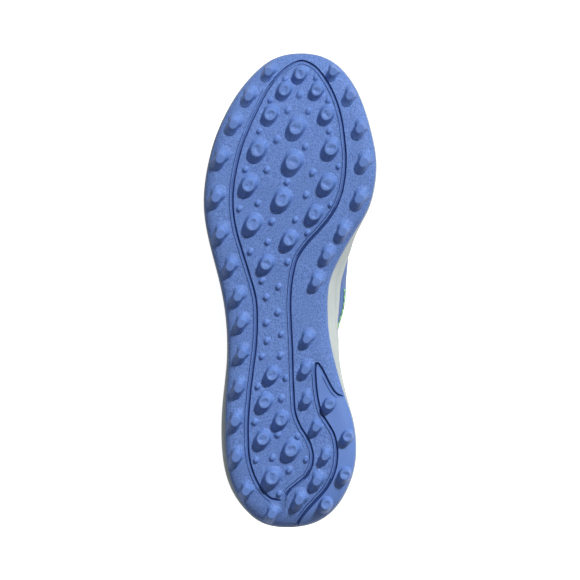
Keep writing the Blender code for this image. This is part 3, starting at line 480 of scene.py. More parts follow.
# Lugs. Every lug is an upright flat-topped cone: its wall falls steeply to a sharp foot on the
# side towards the outer heel, and runs out softly on the side towards the inner toe. Each row is a
# place, as for the grooves, and a size.
CENTRE_LUGS = (
    (0.921, -0.037, 0.86), (0.869, -0.119, 0.92), (0.794, -0.191, 1.05), (0.720, -0.244, 1.00),
    (0.638, -0.220, 1.00), (0.554, -0.142, 0.88), (0.955, 0.055, 0.82), (0.841, 0.031, 1.05),
    (0.768, 0.012, 1.12), (0.689, -0.051, 1.05), (0.605, -0.008, 0.92), (0.920, 0.151, 0.82),
    (0.869, 0.209, 0.90), (0.797, 0.233, 0.98), (0.722, 0.209, 0.98), (0.659, 0.137, 0.90),
    (0.321, -0.109, 0.85), (0.263, -0.152, 0.88), (0.226, -0.056, 0.88), (0.186, -0.162, 0.92),
    (0.163, 0.002, 1.00), (0.104, -0.109, 1.00),
)
HEEL_LUGS = (
    (0.259, 0.224, 0.80), (0.191, 0.330, 0.80), (0.111, 0.315, 0.86), (0.048, 0.205, 0.84),
)
BAND_LUGS = (
    (0.396, 0.093, 0.96), (0.331, 0.084, 0.96), (0.268, 0.093, 0.96), (0.210, 0.147, 0.90),
    (0.149, 0.199, 0.88), (0.097, 0.151, 1.00), (0.057, 0.050, 1.04),
)
EDGE_LUGS = (
    (0.960, -0.128, 0.95), (0.907, -0.244, 1.00), (0.848, -0.331, 1.05), (0.776, -0.408, 1.10),
    (0.694, -0.432, 1.10), (0.617, -0.408, 1.10), (0.549, -0.350, 1.05), (0.485, -0.306, 1.00),
    (0.429, -0.287, 1.00), (0.364, -0.283, 1.00), (0.293, -0.302, 1.05), (0.223, -0.321, 1.10),
    (0.147, -0.316, 1.05), (0.076, -0.259, 1.00), (0.027, -0.109, 1.00), (0.960, 0.248, 0.95),
    (0.909, 0.344, 1.00), (0.839, 0.402, 1.05), (0.768, 0.422, 1.10), (0.691, 0.397, 1.10),
    (0.622, 0.301, 1.05), (0.572, 0.209, 1.00), (0.516, 0.147, 1.00),
)
NUBS = (
    (0.944, -0.032, 1.0), (0.947, 0.148, 1.0), (0.911, 0.052, 1.2), (0.899, -0.119, 0.9),
    (0.899, 0.219, 1.0), (0.878, -0.017, 1.1), (0.876, 0.103, 1.1), (0.834, -0.183, 0.9),
    (0.834, 0.222, 1.0), (0.816, -0.080, 1.2), (0.801, 0.084, 1.1), (0.753, -0.263, 1.0),
    (0.759, 0.277, 0.9), (0.752, -0.138, 1.1), (0.746, 0.127, 1.2), (0.726, -0.022, 1.0),
    (0.670, -0.297, 1.0), (0.682, -0.191, 1.0), (0.699, 0.089, 1.1), (0.678, 0.233, 1.0),
    (0.643, -0.109, 1.1), (0.647, 0.026, 1.0), (0.619, 0.098, 1.0), (0.600, -0.133, 1.0),
    (0.580, -0.234, 1.1), (0.558, -0.017, 1.1), (0.519, -0.167, 1.1), (0.506, -0.070, 1.1),
    (0.484, -0.142, 1.1), (0.452, -0.075, 1.1), (0.430, -0.142, 1.1), (0.406, -0.056, 1.0),
    (0.392, -0.138, 1.1), (0.359, -0.167, 1.0), (0.361, -0.060, 1.1), (0.314, -0.027, 1.1),
    (0.296, -0.191, 1.0), (0.271, -0.053, 1.2), (0.221, -0.208, 1.1), (0.195, -0.075, 1.1),
    (0.191, 0.041, 1.1), (0.146, -0.106, 1.1), (0.141, -0.201, 1.0), (0.142, 0.091, 1.1),
    (0.120, -0.008, 1.2), (0.070, -0.066, 1.0),
)
# How each kind of lug is shaped, in metres: radius of its top, reach of its steep side, of its
# flanks and of its soft side, its height and the depth of the dish in its top.
LUG_KINDS = {
    "centre": (0.0038, 0.0094, 0.0056, 0.0084, LUG_HEIGHT, 0.0006),
    "heel": (0.0036, 0.0082, 0.0053, 0.0066, LUG_HEIGHT, 0.0005),
    "edge": (0.0024, 0.0082, 0.0038, 0.0088, LUG_HEIGHT, 0.0),
    "nub": (0.0007, 0.0029, 0.0020, 0.0029, 0.0018, 0.0),
}
STEEP_SIDE = math.radians(240)
LUG_SPOKES = 52
NUB_SPOKES = 20
GROOVE_CLEAR = 0.0009
EDGE_CLEAR = 0.0006
FOOT_SUNK = 0.00025


def smooth(share):
    """0 at and under 0, 1 at and over 1, with an easy start and end."""
    share = np.clip(share, 0, 1)
    return share**2 * (3 - 2 * share)


def clear_reach(centre, ray, nearest, farthest):
    """How far each ray from a lug's centre may run before it comes to a groove or fine line."""
    close = GROOVE_CLOUD[np.linalg.norm(GROOVE_CLOUD - centre, axis=1) < farthest + 0.003]
    if not len(close):
        return np.full(len(ray), farthest)
    steps = np.arange(nearest, farthest, 0.0003)
    points = centre + ray[:, None] * steps[:, None]
    away = np.linalg.norm(points[:, :, None] - close, axis=3).min(axis=2)
    blocked = np.column_stack([away < GROOVE_CLEAR, np.ones(len(ray), bool)])
    return np.append(steps, farthest)[np.argmax(blocked, axis=1)]


def lug(kind, along, across, scale, finishes):
    """One lug as a closed cap that rises from the tread's underside."""
    top, steep, flank, soft, height, dish = LUG_KINDS[kind]
    spokes = LUG_SPOKES if kind != "nub" else NUB_SPOKES
    turn = np.arange(spokes + 1) / spokes * 2 * np.pi
    turn[-1] = 0.0
    # In plan +x is the toe and +y the inner side, so the steep side lies at (-x, -y).
    ray = np.column_stack([np.sin(turn), np.cos(turn)])
    facing = np.cos(turn - STEEP_SIDE)
    steepness = smooth((facing + 0.25) / 0.75)
    pointed = (steep - flank) * np.clip(facing, 0, 1) ** 3.0
    spread = (soft - flank) * np.clip(-facing, 0, 1) ** 1.3
    reach = (flank + pointed + spread) * scale
    centre = np.array([along * SHOE_LENGTH, across * BALL_WIDTH])
    crown = top * scale
    reach = np.minimum(reach, clear_reach(centre, ray, crown * 1.2, reach.max()))
    for _ in range(4):
        around = reach[:-1]
        around = np.minimum(around, (np.roll(around, 1) + 2 * around + np.roll(around, -1)) / 4)
        reach = np.append(around, around[0])
    for _ in range(3):
        spare = inset_of(centre + ray * reach[:, None]) - EDGE_CLEAR
        reach = np.where(spare < 0, np.maximum(reach + spare, crown * 1.05), reach)
    # The dish is a long dimple that lies a little off the middle, each lug's its own way.
    swing = 40.0 * along + 25.0 * across
    rows = []
    fills = (0.0, 0.2, 0.36, 0.5, 0.64, 0.8, 0.9)
    for share in fills:
        inner = max(1 - share / 0.8, 0)
        oval = 1 + 0.9 * inner * np.cos(2 * (turn - swing))
        aside = 0.34 * inner * np.cos(turn - swing - 1.2)
        dip = dish / height * (1 - min(share / 0.75, 1) ** 2) ** 1.5
        rows.append((crown * (share * oval + aside), 1.0 - dip))
    slopes = (0.0, 0.04, 0.09, 0.16, 0.28, 0.42, 0.56, 0.70, 0.84, 0.94, 1.0)
    for share in slopes:
        rounded = max(0.14 - share, 0) ** 2 / 0.28 + share
        hard = 1 - (rounded - 0.07) / 0.93
        gentle = hard**1.9
        rows.append((crown + (reach - crown) * share, gentle + (hard - gentle) * steepness))
    base = float(tread_height(centre[0]))
    points = []
    for radius, rise in rows:
        flat = centre + ray * radius[:, None]
        plate = underside(flat)
        points.append(np.column_stack([flat, plate + (base - height - plate) * rise]))
    points[-1][:, 2] += FOOT_SUNK
    sunk = points[-1] + (0, 0, 0.0008)
    middle = np.tile([*centre, base + 0.0012], (len(turn), 1))
    points[0][:] = points[0][:-1].mean(axis=0)
    points += [sunk, middle]
    return surface("lug", np.array(points), finishes, len(fills) + 1)


# The rubber. The same blue everywhere but in the grooves, which are painted a darker navy as
# painted shade, with a grain of fine raised dashes in the centre panel, a leather-like wrinkle in
# the bands, a fine crosshatch in the heel's inner panel and smooth worn tops on the lugs. Raised
# grain is painted a little lighter and its dips darker: a painted highlight and painted shade.
RUBBER_SHADE = (0.046, 0.100, 0.310)
RUBBER_LIGHT = (0.156, 0.282, 0.640)
UPRIGHT = Matrix(TURN.T.tolist())


class Signal:
    """A value in a material. Arithmetic on it adds the Math nodes that do it."""

    def __init__(self, finish, socket):
        self.finish = finish
        self.socket = socket

    def math(self, operation, *others, clamp=False):
        values = dict(enumerate((self, *others)))
        return self.finish.node("Math", 0, values, operation=operation, use_clamp=clamp)

    def __add__(self, other):
        return self.math("ADD", other)

    def __sub__(self, other):
        return self.math("SUBTRACT", other)

    def __rsub__(self, other):
        return self.math("MULTIPLY", -1.0).math("ADD", other)

    def __mul__(self, other):
        return self.math("MULTIPLY", other)

    __radd__ = __add__
    __rmul__ = __mul__

    def between(self, low, high):
        """0 under low, 1 over high and smooth between."""
        values = {"Value": self, "From Min": low, "From Max": high}
        return self.finish.node("MapRange", "Result", values, interpolation_type="SMOOTHSTEP")


class Finish:
    """A procedural material, built node by node."""

    def __init__(self, name, **constants):
        self.material = bpy.data.materials.new(name)
        self.material.use_nodes = True
        self.tree = self.material.node_tree
        self.shader = self.tree.nodes["Principled BSDF"]
        for key, value in constants.items():
            self.shader.inputs[key.replace("_", " ")].default_value = value

    def put(self, socket, value):
        if isinstance(value, Signal):
            self.tree.links.new(value.socket, socket)
        else:
            socket.default_value = value

    def node(self, kind, output, inputs, **settings):
        made = self.tree.nodes.new("ShaderNode" + kind)
        for name, value in settings.items():
            setattr(made, name, value)
        for name, value in inputs.items():
            self.put(made.inputs[name], value)
        return Signal(self, made.outputs[output])

    def place(self, turn=(0.0, 0.0, 0.0), stretch=(1.0, 1.0, 1.0), source="Object"):
        """Coordinates in metres, turned by Euler angles and then stretched."""
        start = self.node("TexCoord", source, {})
        turned = self.node("Mapping", "Vector", {"Vector": start, "Rotation": turn})
        return self.node("VectorMath", "Vector", {0: turned, 1: stretch}, operation="MULTIPLY")

    def noise(self, place, scale, detail=2.0, rough=0.5):
        values = {"Vector": place, "Scale": scale, "Detail": detail, "Roughness": rough}
        return self.node("TexNoise", "Fac", values)

    def mix(self, share, first, second):
        first, second = (c if isinstance(c, Signal) else (*c, 1.0) for c in (first, second))
        return self.node("Mix", 2, {"Factor": share, 6: first, 7: second}, data_type="RGBA")

    def split(self, place):
        made = self.node("SeparateXYZ", 0, {0: place}).socket.node
        return [Signal(self, socket) for socket in made.outputs]

    def metres(self):
        """The UVs' two directions, in metres."""
        return self.split(self.place(source="UV"))[:2]

    def colour(self, value):
        self.put(self.shader.inputs["Base Color"], value)

    def rough(self, value):
        self.put(self.shader.inputs["Roughness"], value)

    def relief(self, height):
        """Bump from a height in metres."""
        bump = self.node("Bump", 0, {"Strength": 1.0, "Distance": 1.0, "Height": height})
        self.put(self.shader.inputs["Normal"], bump)


def rubber(name, grain):
    """A rubber finish. grain(finish) returns a grain from 0 to 1 and its depth in metres."""
    made = Finish(name, Roughness=0.55, Specular_IOR_Level=0.35)
    pattern, depth = grain(made)
    cloud = made.noise(made.place(), 60.0, 3.0)
    # Painted highlight and painted shade: raised grain is coloured towards RUBBER_LIGHT and its dips
    # towards RUBBER_SHADE. The cloud adds a random tone.
    share = 0.54 + 0.60 * (pattern - 0.5) + 0.22 * (cloud - 0.5)
    made.colour(made.mix(share, RUBBER_SHADE, RUBBER_LIGHT))
    made.rough(0.50 + 0.18 * cloud)
    made.relief(pattern * depth)
    return made.material


def turned_place(made, degrees, stretch):
    """Coordinates in the tread's plane, turned about its normal and stretched."""
    euler = (Matrix.Rotation(math.radians(degrees), 3, "Z") @ UPRIGHT).to_euler()
    return made.place(tuple(euler), stretch)


def dash_grain(made):
    place = turned_place(made, 45.0, (760.0, 3000.0, 1700.0))
    return made.noise(place, 1.0, 1.0, 0.5).between(0.41, 0.59), 0.00016


def wrinkle_grain(made):
    place = turned_place(made, 40.0, (760.0, 2300.0, 1500.0))
    return made.noise(place, 1.0, 2.0, 0.5).between(0.39, 0.61), 0.00018


def checks(wide, high, turns):
    """A check of soft squares from -1 to 1."""
    return (wide * turns).math("SINE") * (high * turns).math("SINE")


def hatch_grain(made):
    first, second, _ = made.split(turned_place(made, 45.0, (1.0, 1.0, 1.0)))
    return checks(first, second, 6400.0) * 0.4 + 0.5, 0.00012


def at_foot(made, near, far):
    """0 on a lug's top and wall, and 1 where it runs out into the tread."""
    return made.metres()[1].between(near, far)


def lug_grain(made):
    place = turned_place(made, 45.0, (700.0, 1300.0, 900.0))
    leather = made.noise(place, 1.0, 2.0, 0.5).between(0.30, 0.70) * 0.5 + 0.22
    foot = at_foot(made, 0.0055, 0.0095)
    return leather * (1.0 - foot) + dash_grain(made)[0] * foot, 0.00010


def fan_grain(made):
    place = made.place(source="UV", stretch=(1900.0, 420.0, 1.0))
    fan = made.noise(place, 1.0, 1.5, 0.5).between(0.34, 0.66) * 0.6 + 0.20
    foot = at_foot(made, 0.0050, 0.0090)
    return fan * (1.0 - foot) + wrinkle_grain(made)[0] * foot, 0.00014


def worn_grain(made):
    return made.noise(made.place(), 900.0, 3.0) * 0.3 + 0.08, 0.00002


panel_rubber = rubber("panel rubber", dash_grain)
band_rubber = rubber("band rubber", wrinkle_grain)
heel_rubber = rubber("heel rubber", hatch_grain)
lug_rubber = rubber("lug rubber", lug_grain)
dish_rubber = rubber("lug dish rubber", lug_grain)
fan_rubber = rubber("lug fan rubber", fan_grain)
tip_rubber = rubber("worn tip rubber", worn_grain)
# The grooves are painted a dark navy, darker than the tread's rubber: painted shade in the recesses.
# Noise varies it between two navies and gives it a faint bump.
groove_shade_finish = Finish("groove painted shade rubber", Roughness=0.6)
groove_shade_noise = groove_shade_finish.noise(groove_shade_finish.place(), 900.0, 2.0)
groove_shade_finish.colour(groove_shade_finish.mix(groove_shade_noise, (0.010, 0.040, 0.180), (0.026, 0.080, 0.290)))
groove_shade_finish.relief(groove_shade_noise * 0.00006)
groove_shade_rubber = groove_shade_finish.material

rubbers = [panel_rubber, band_rubber, heel_rubber, tip_rubber, groove_shade_rubber]
outsole = surface("rubber_outsole", outsole_rows(), rubbers)


def notch_tool(tip, half, finish):
    """An upright wedge that cuts a small V where the heel groove leaves the edge."""
    x, y = tip
    plan = np.array([(x, y), (x - 0.005, y - 2.6 * half), (x - 0.005, y + half), (x, y)])
    low, high = (np.column_stack([plan, np.full(4, tread_height(0.0) + z)]) for z in (0.001, 0.034))
    below, above = (np.tile(row[:3].mean(axis=0), (4, 1)) for row in (low, high))
    return surface("notch", np.array([below, low, high, above]), [finish])


tools = [groove_tool(name, path, GROOVE_SHAPE, groove_shade_rubber) for name, path in GROOVES.items()]
# The notch's cut faces take the same painted shade.
tools.append(notch_tool((0.0030, 0.0040), 0.0016, groove_shade_rubber))
tools += [groove_tool(name, path, LINE_SHAPE, groove_shade_rubber) for name, path in FINE_LINES.items()]
cut_out(outsole, tools)

# Places outside the heel that close the loop of the heel groove, how far a face may turn from
# the steep side's way and still be a groove's gentle wall, and how high the tread reaches.
OUTSIDE_HEEL = [(0.083, 0.060), (-0.010, 0.060), (-0.010, 0.0)]
GENTLE = 0.15
TREAD_REACH = 0.006


def sort_tread(mesh):
    """Gives the tread's faces between the grooves the grain of their panel, and the grooves' gentle
    walls, which face the main light, a smooth one. The grooves' other faces keep their painted shade."""
    shoe = (read_all(mesh.polygons, "center", size=3) - SHIFT) @ TURN
    facing = (read_all(mesh.polygons, "normal", size=3) @ TURN)[:, :2] @ STEEP_WALL
    index = read_all(mesh.polygons, "material_index", int)
    panel, band, heel, tip, groove = range(5)
    low = (index == panel) & (shoe[:, 2] < tread_height(shoe[:, 0]) + TREAD_REACH)
    centre_loop = GROOVES["centre_groove"][::2]
    heel_loop = np.vstack([GROOVES["heel_groove"][::2], OUTSIDE_HEEL])
    # Groove faces turned to the main light take the smooth tip rubber; the rest keep the navy painted
    # shade.
    index[(index == groove) & (facing > GENTLE)] = tip
    index[index == panel] = band
    index[low & inside(heel_loop, shoe[:, :2])] = heel
    index[low & inside(centre_loop, shoe[:, :2])] = panel
    mesh.polygons.foreach_set("material_index", index)


sort_tread(outsole.data)
lugs = [lug("centre", *row, [dish_rubber, lug_rubber]) for row in CENTRE_LUGS]
lugs += [lug("heel", *row, [heel_rubber, heel_rubber]) for row in HEEL_LUGS]
lugs += [lug("edge", *row, [tip_rubber, fan_rubber]) for row in BAND_LUGS + EDGE_LUGS]
lugs += [lug("nub", *row, [lug_rubber, lug_rubber]) for row in NUBS]
join(outsole, lugs)
outsole.data.shade_smooth()
outsole.data.set_sharp_from_angle(angle=math.radians(50))
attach(outsole, "root")
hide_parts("outsole")

# Midsole
# Moulded foam between outsole and foot, off-white with a grey green cast. It is glued in: its side
# swells out over the outsole, has a shallow step, and ends in a rim that cups the upper's foot.
GAP = 0.0003
CURVED_GAP = 0.0006
HEEL_STACK = 0.030
RIM_HEIGHT = 0.008
RIM_WALL = 0.0025
SIDE_STEP = 0.0008
WAIST_LIP = 0.0018
WAIST = 0.395
WAIST_REACH = 0.035
INSTEP_HEIGHT = 0.122
HEEL_LEAN = 0.006
FOAM_COLUMNS = 360

# Shares of the ball width by which the foam swells out over the outline and the upper's foot lies
# inside it, and how much the upper is tucked in above its foot.
SIDES = Table(
    "station lateral_bulge medial_bulge lateral_inset medial_inset lateral_tuck medial_tuck",
    (0.00, 0.012, 0.012, 0.048, 0.048, 0.04, 0.04),
    (0.10, 0.032, 0.012, 0.050, 0.050, 0.04, 0.04),
    (0.22, 0.036, 0.012, 0.052, 0.044, 0.04, 0.05),
    (0.30, 0.026, 0.014, 0.045, -0.003, 0.04, 0.10),
    (0.36, 0.018, 0.014, 0.038, -0.042, 0.04, 0.19),
    (0.41, 0.014, 0.014, 0.034, -0.074, 0.04, 0.29),
    (0.46, 0.012, 0.004, 0.032, -0.120, 0.04, 0.36),
    (0.51, 0.012, -0.006, 0.034, -0.124, 0.04, 0.34),
    (0.55, 0.012, -0.004, 0.036, -0.096, 0.04, 0.24),
    (0.59, 0.012, 0.006, 0.038, -0.040, 0.04, 0.11),
    (0.63, 0.012, 0.010, 0.038, 0.014, 0.04, 0.05),
    (0.70, 0.012, 0.012, 0.038, 0.038, 0.04, 0.04),
    (0.85, 0.012, 0.012, 0.042, 0.042, 0.04, 0.04),
    (1.00, 0.012, 0.012, 0.048, 0.048, 0.04, 0.04),
)
# Where the ridge lies between the upper's two sides, and how square its cross section is.
SECTIONS = Table(
    "station ridge_side square",
    (0.00, 0.50, 2.0),
    (0.20, 0.50, 2.0),
    (0.40, 0.52, 2.0),
    (0.55, 0.55, 2.0),
    (0.70, 0.57, 2.1),
    (0.85, 0.55, 2.3),
    (1.00, 0.50, 2.4),
)
TOE_ROUND_START = 0.80
TOE_ROUND_POWER = 2.3
# The upper's top edge from heel (0) to toe (1): how far forward it lies, and its angle on the last.
TOPLINE = Table(
    "around edge turn",
    (0.00, 0.000, 41.0),
    (0.08, 0.016, 40.3),
    (0.16, 0.061, 38.0),
    (0.23, 0.115, 33.5),
    (0.30, 0.190, 29.0),
    (0.35, 0.255, 29.0),
    (0.39, 0.310, 33.0),
    (0.42, 0.350, 41.0),
    (0.45, 0.385, 51.0),
    (0.48, 0.415, 60.5),
    (0.52, 0.450, 66.5),
    (0.57, 0.500, 71.0),
    (0.64, 0.560, 75.0),
    (0.71, 0.610, 78.5),
    (0.80, 0.645, 82.0),
    (0.88, 0.660, 86.0),
    (1.00, 0.665, 90.0),
)
LATERAL_DROP = 0.94
COLLAR_END = 0.42


def side_value(name, station, lateral):
    """A SIDES column, the lateral or the medial one."""
    sides = [SIDES.read(f"{side}_{name}", station) for side in ("lateral", "medial")]
    return np.where(lateral, *sides)


on_lateral = np.arange(DENSE) <= int(np.argmax(OUTLINE_CURVE[:, 0]))
upper_inset = side_value("inset", OUTLINE_CURVE[:, 0] / SHOE_LENGTH, on_lateral) * BALL_WIDTH
UPPER_CURVE = from_heel(OUTLINE_CURVE - OUTLINE_NORMAL * upper_inset[:, None])
UPPER_TOE = int(np.argmax(UPPER_CURVE[:, 0]))
UPPER_HEEL_X = float(UPPER_CURVE[:, 0].min())
UPPER_TOE_X = float(UPPER_CURVE[:, 0].max())


def bed_height(x):
    return HEEL_STACK * PROFILE.read("bed", x / SHOE_LENGTH)


def side_of_upper(x, side):
    """y of the upper's widest line on its lateral or medial side."""
    lateral = UPPER_CURVE[: UPPER_TOE + 1]
    medial = np.vstack([UPPER_CURVE[UPPER_TOE:], UPPER_CURVE[:1]])[::-1]
    line = lateral if side == "lateral" else medial
    return np.interp(x, np.maximum.accumulate(line[:, 0]), line[:, 1])


def last_section(station):
    """The last's cross section: x, ridge y, its two half widths, foot height, rise and power."""
    x = UPPER_HEEL_X + (UPPER_TOE_X - UPPER_HEEL_X) * station
    share = x / SHOE_LENGTH
    lateral, medial = side_of_upper(x, "lateral"), side_of_upper(x, "medial")
    ridge = lateral + (medial - lateral) * SECTIONS.read("ridge_side", share)
    foot = bed_height(x) + GAP
    beyond = np.clip((station - TOE_ROUND_START) / (1 - TOE_ROUND_START), 0, 1)
    rounding = (1 - beyond**TOE_ROUND_POWER) ** (1 / TOE_ROUND_POWER)
    rise = (INSTEP_HEIGHT * PROFILE.read("ridge", share) - foot) * rounding
    return x, ridge, ridge - lateral, medial - ridge, foot, rise, 2 / SECTIONS.read("square", share)


def on_last(station, turn):
    """Points of the last. turn is in degrees: 0 at the lateral foot, 90 on the ridge, 180 at the
    medial foot."""
    x, ridge, lateral, medial, foot, rise, power = last_section(station)
    angle = np.radians(turn)
    across, up = np.cos(angle), np.abs(np.sin(angle)) ** power
    share = x / SHOE_LENGTH
    near = np.clip(1 - np.minimum(turn, 180 - turn) / 30, 0, 1) ** 2
    reach = np.abs(across) ** power * (1 - side_value("tuck", share, across > 0) * near)
    y = np.where(across > 0, ridge - lateral * reach, ridge + medial * reach)
    z = foot + rise * up
    risen = np.clip((z - foot) / (INSTEP_HEIGHT / 2), 0, 1.2)
    lean = HEEL_LEAN * (1.5 * risen**2 - 0.5 * risen) * np.clip(1 - station / 0.3, 0, 1) ** 2
    return np.stack([x + lean, y, z], axis=-1)


def upper_face(around, rise):
    """The upper's outer face: around as in around_shoe, rise 0 at its foot and 1 at its top edge."""
    around, rise = np.broadcast_arrays(np.asarray(around, float) % 1.0, np.asarray(rise, float))
    lateral_side = around <= 0.5
    toward = np.where(lateral_side, around, 1 - around) * 2
    foot = station_of(toward / 2)
    edge, top_turn = TOPLINE.read("edge", toward), TOPLINE.read("turn", toward)
    collar = np.clip(1 - toward / COLLAR_END, 0, 1)
    drop = 1 - (1 - LATERAL_DROP) * np.sqrt(collar) * np.clip(toward / 0.03, 0, 1)
    top_turn = top_turn * np.where(lateral_side, drop, 1)
    eased = 1 - np.cos(rise * np.pi / 2)
    station = foot + (edge - foot) * eased
    power = last_section(station)[6]

    def half_width(at):
        parts = last_section(at)
        return np.where(lateral_side, parts[2], parts[3])

    top_width = half_width(edge) * np.cos(np.radians(top_turn)) ** power
    plan = half_width(foot) * (1 - eased) + top_width * eased
    share = np.clip(plan / np.maximum(half_width(station), 1e-6), 0, 1)
    front_turn = np.degrees(np.arccos(share ** (1 / power)))
    blend = smooth((toward - 0.40) / 0.25)
    turn = top_turn * rise * (1 - blend) + front_turn * blend
    return on_last(station, np.where(lateral_side, turn, 180 - turn))


def upper_point(around, rise, lift=0.0):
    """The upper's outer face moved outward by lift along its normal."""
    around, rise = np.broadcast_arrays(np.asarray(around, float), np.asarray(rise, float))
    step = 2e-3
    low, high = np.clip(rise - step, 0, 1), np.clip(rise + step, 0, 1)
    along = upper_face(around + step, rise) - upper_face(around - step, rise)
    up = upper_face(around, high) - upper_face(around, low)
    return upper_face(around, rise) + unit(np.cross(along, up)) * np.asarray(lift)[..., None]


def rim_rise(around):
    """The rise at which the upper's face comes level with the top of the midsole's rim."""
    around = np.asarray(around, float)
    x = upper_face(around, np.zeros_like(around))[:, 0]
    wanted = bed_height(x) + RIM_HEIGHT * PROFILE.read("rim", x / SHOE_LENGTH)
    low, high = np.zeros_like(around), np.full_like(around, 0.9)
    for _ in range(24):
        middle = (low + high) / 2
        under = upper_face(around, middle)[:, 2] < wanted
        low, high = np.where(under, middle, low), np.where(under, high, middle)
    return high


def rim_row(rise_share, lift, drop=0.0):
    """A row on the upper's face, rise_share of the way up to the rim's top."""
    around = around_shoe(FOAM_COLUMNS)
    row = upper_point(around, rim_rise(around) * rise_share, lift)
    row[-1] = row[0]
    return row - np.array([0.0, 0.0, drop])


def to_middle(row, shares):
    """Rows from a closed row towards its middle line."""
    return [row + (middle_line(row) - row) * share for share in shares]


# The side from the outsole's edge (0) to the top of the rim (1): the share of the side's bulge at
# each height, where the shallow step lies and how many side steps the foam stands back there, and
# a small bead above the outsole.
MIDSOLE_SIDE = Table(
    "share bulge",
    (0.00, 0.00),
    (0.13, 0.62),
    (0.38, 1.00),
    (0.56, 0.90),
    (0.72, 0.70),
    (1.00, 0.00),
)
STEP_HEIGHTS = (0.0, 0.55, 0.575, 0.685, 0.71, 1.0)
STEPS_BACK = (0.0, 0.0, 1.0, 1.0, 0.0, 0.4)
BEAD = 0.0007
BEAD_HEIGHT = 0.045
BEAD_WIDTH = 0.035
SIDE_SHARES = (0.0, 0.012, 0.03, 0.05, 0.075, 0.10, 0.15, 0.21, 0.28, 0.36, 0.44, 0.51, 0.55, 0.56)
SIDE_SHARES += (0.575, 0.59, 0.62, 0.65, 0.67, 0.685, 0.70, 0.715, 0.76, 0.82, 0.88, 0.93, 0.97, 1.0)


def midsole_rows():
    """From the middle over the outsole, round its edge, up the side, over the rim and back inside
    under the upper's foot."""
    edge = OUTSOLE_EDGE_WALL + EDGE_WALL_FLARE + GAP
    under = OUTSOLE_THICKNESS + GAP
    count = FOAM_COLUMNS
    rows = [sole_row(ROLL_WIDTH, under, share, count) for share in (1.0, 0.75, 0.5, 0.25, 0.0)]
    rows.append(sole_row(edge, under + float(roll(edge)), 0.0, count))
    rows.append(sole_row(OUTSOLE_EDGE_WALL + GAP, OUTSOLE_EDGE_HEIGHT + GAP, 0.0, count))
    foot = sole_row(GAP, OUTSOLE_EDGE_HEIGHT + GAP, 0.0, count)
    top = rim_row(1.0, CURVED_GAP + RIM_WALL)
    outward = np.column_stack([ring(1.0, count) - ring(0.0, count), np.zeros(count + 1)])
    lateral = around_shoe(count) <= 0.5
    station = foot[:, 0] / SHOE_LENGTH
    bulge = side_value("bulge", station, lateral) * BALL_WIDTH
    lip = WAIST_LIP * np.exp(-(((station - WAIST) / WAIST_REACH) ** 2)) * ~lateral
    top = top + outward * lip[:, None]
    for share in SIDE_SHARES:
        stepped = np.interp(share, STEP_HEIGHTS, STEPS_BACK)
        bead = BEAD * math.exp(-(((share - BEAD_HEIGHT) / BEAD_WIDTH) ** 2)) * (share > 0)
        out = bulge * MIDSOLE_SIDE.read("bulge", share) - SIDE_STEP * stepped + bead
        rows.append(foot + (top - foot) * share + outward * out[:, None])
    rows[-1] = rows[-1] - np.array([0.0, 0.0, 0.0004])
    rows.append(rim_row(1.0, CURVED_GAP + RIM_WALL * 0.72, -0.0003))
    rows.append(rim_row(1.0, CURVED_GAP + RIM_WALL * 0.3, -0.0002))
    rows += [rim_row(1.0, CURVED_GAP), rim_row(0.5, CURVED_GAP), rim_row(0.0, CURVED_GAP, GAP)]
    inner = rim_row(0.0, -ROLL_WIDTH / 2)
    inner[:, 2] = bed_height(inner[:, 0])
    return np.array(rows + to_middle(inner, (0.0, 0.5, 1.0)))


def foam():
    """Off-white foam: a fine pebbled skin, faint mould lines along the side, a little dust."""
    made = Finish("pale foam skin", Roughness=0.62, Specular_IOR_Level=0.4)
    place = made.place()
    pebble = made.noise(place, 1400.0, 2.0)
    cloud = made.noise(place, 28.0, 3.0)
    high = made.metres()[1]
    lines = (high * 5200.0).math("SINE") * 0.5 + 0.5
    colour = made.mix(cloud.between(0.3, 0.7), (0.400, 0.440, 0.425), (0.500, 0.540, 0.520))
    made.colour(made.mix(lines * 0.16, colour, (0.32, 0.37, 0.36)))
    made.rough(0.55 + 0.2 * cloud)
    made.relief(pebble * 0.00005 + lines * 0.00003)
    return made.material


midsole = surface("foam_midsole", midsole_rows(), [foam()])
midsole.data.set_sharp_from_angle(angle=math.radians(50))
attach(midsole, "root")
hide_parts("midsole")

# Upper
# A sock-like shell of blue knit, sewn at the collar over padding and lined in green. It is pulled
# under the footbed and glued into the midsole's rim, and its throat is punched for the lace.
WALL = 0.0020
COLLAR_PAD = 0.0045
COLLAR_PUFF = 0.0012
KNIT_COLUMNS = 330
OUTER_ROWS = 56
INNER_ROWS = 34
EYELET_RADIUS = 0.0023
EYELET_MARGIN = 0.0085
BAR_REACH = 0.006
RISE_STEPS = 81
EYELETS_AROUND = (0.495, 0.560, 0.625, 0.700, 0.800)


def collar_share(around, rise):
    """1 in the collar's padding, 0 away from it."""
    toward = np.where(around <= 0.5, around, 1 - around) * 2
    return smooth((COLLAR_END - toward) / 0.12) * smooth((rise - 0.45) / 0.35)


def wall_at(around, rise):
    roll_off = np.clip((1.0 - rise) / 0.12, 0, 1)
    return WALL + COLLAR_PAD * collar_share(around, rise) * (0.45 + 0.55 * np.sqrt(roll_off))


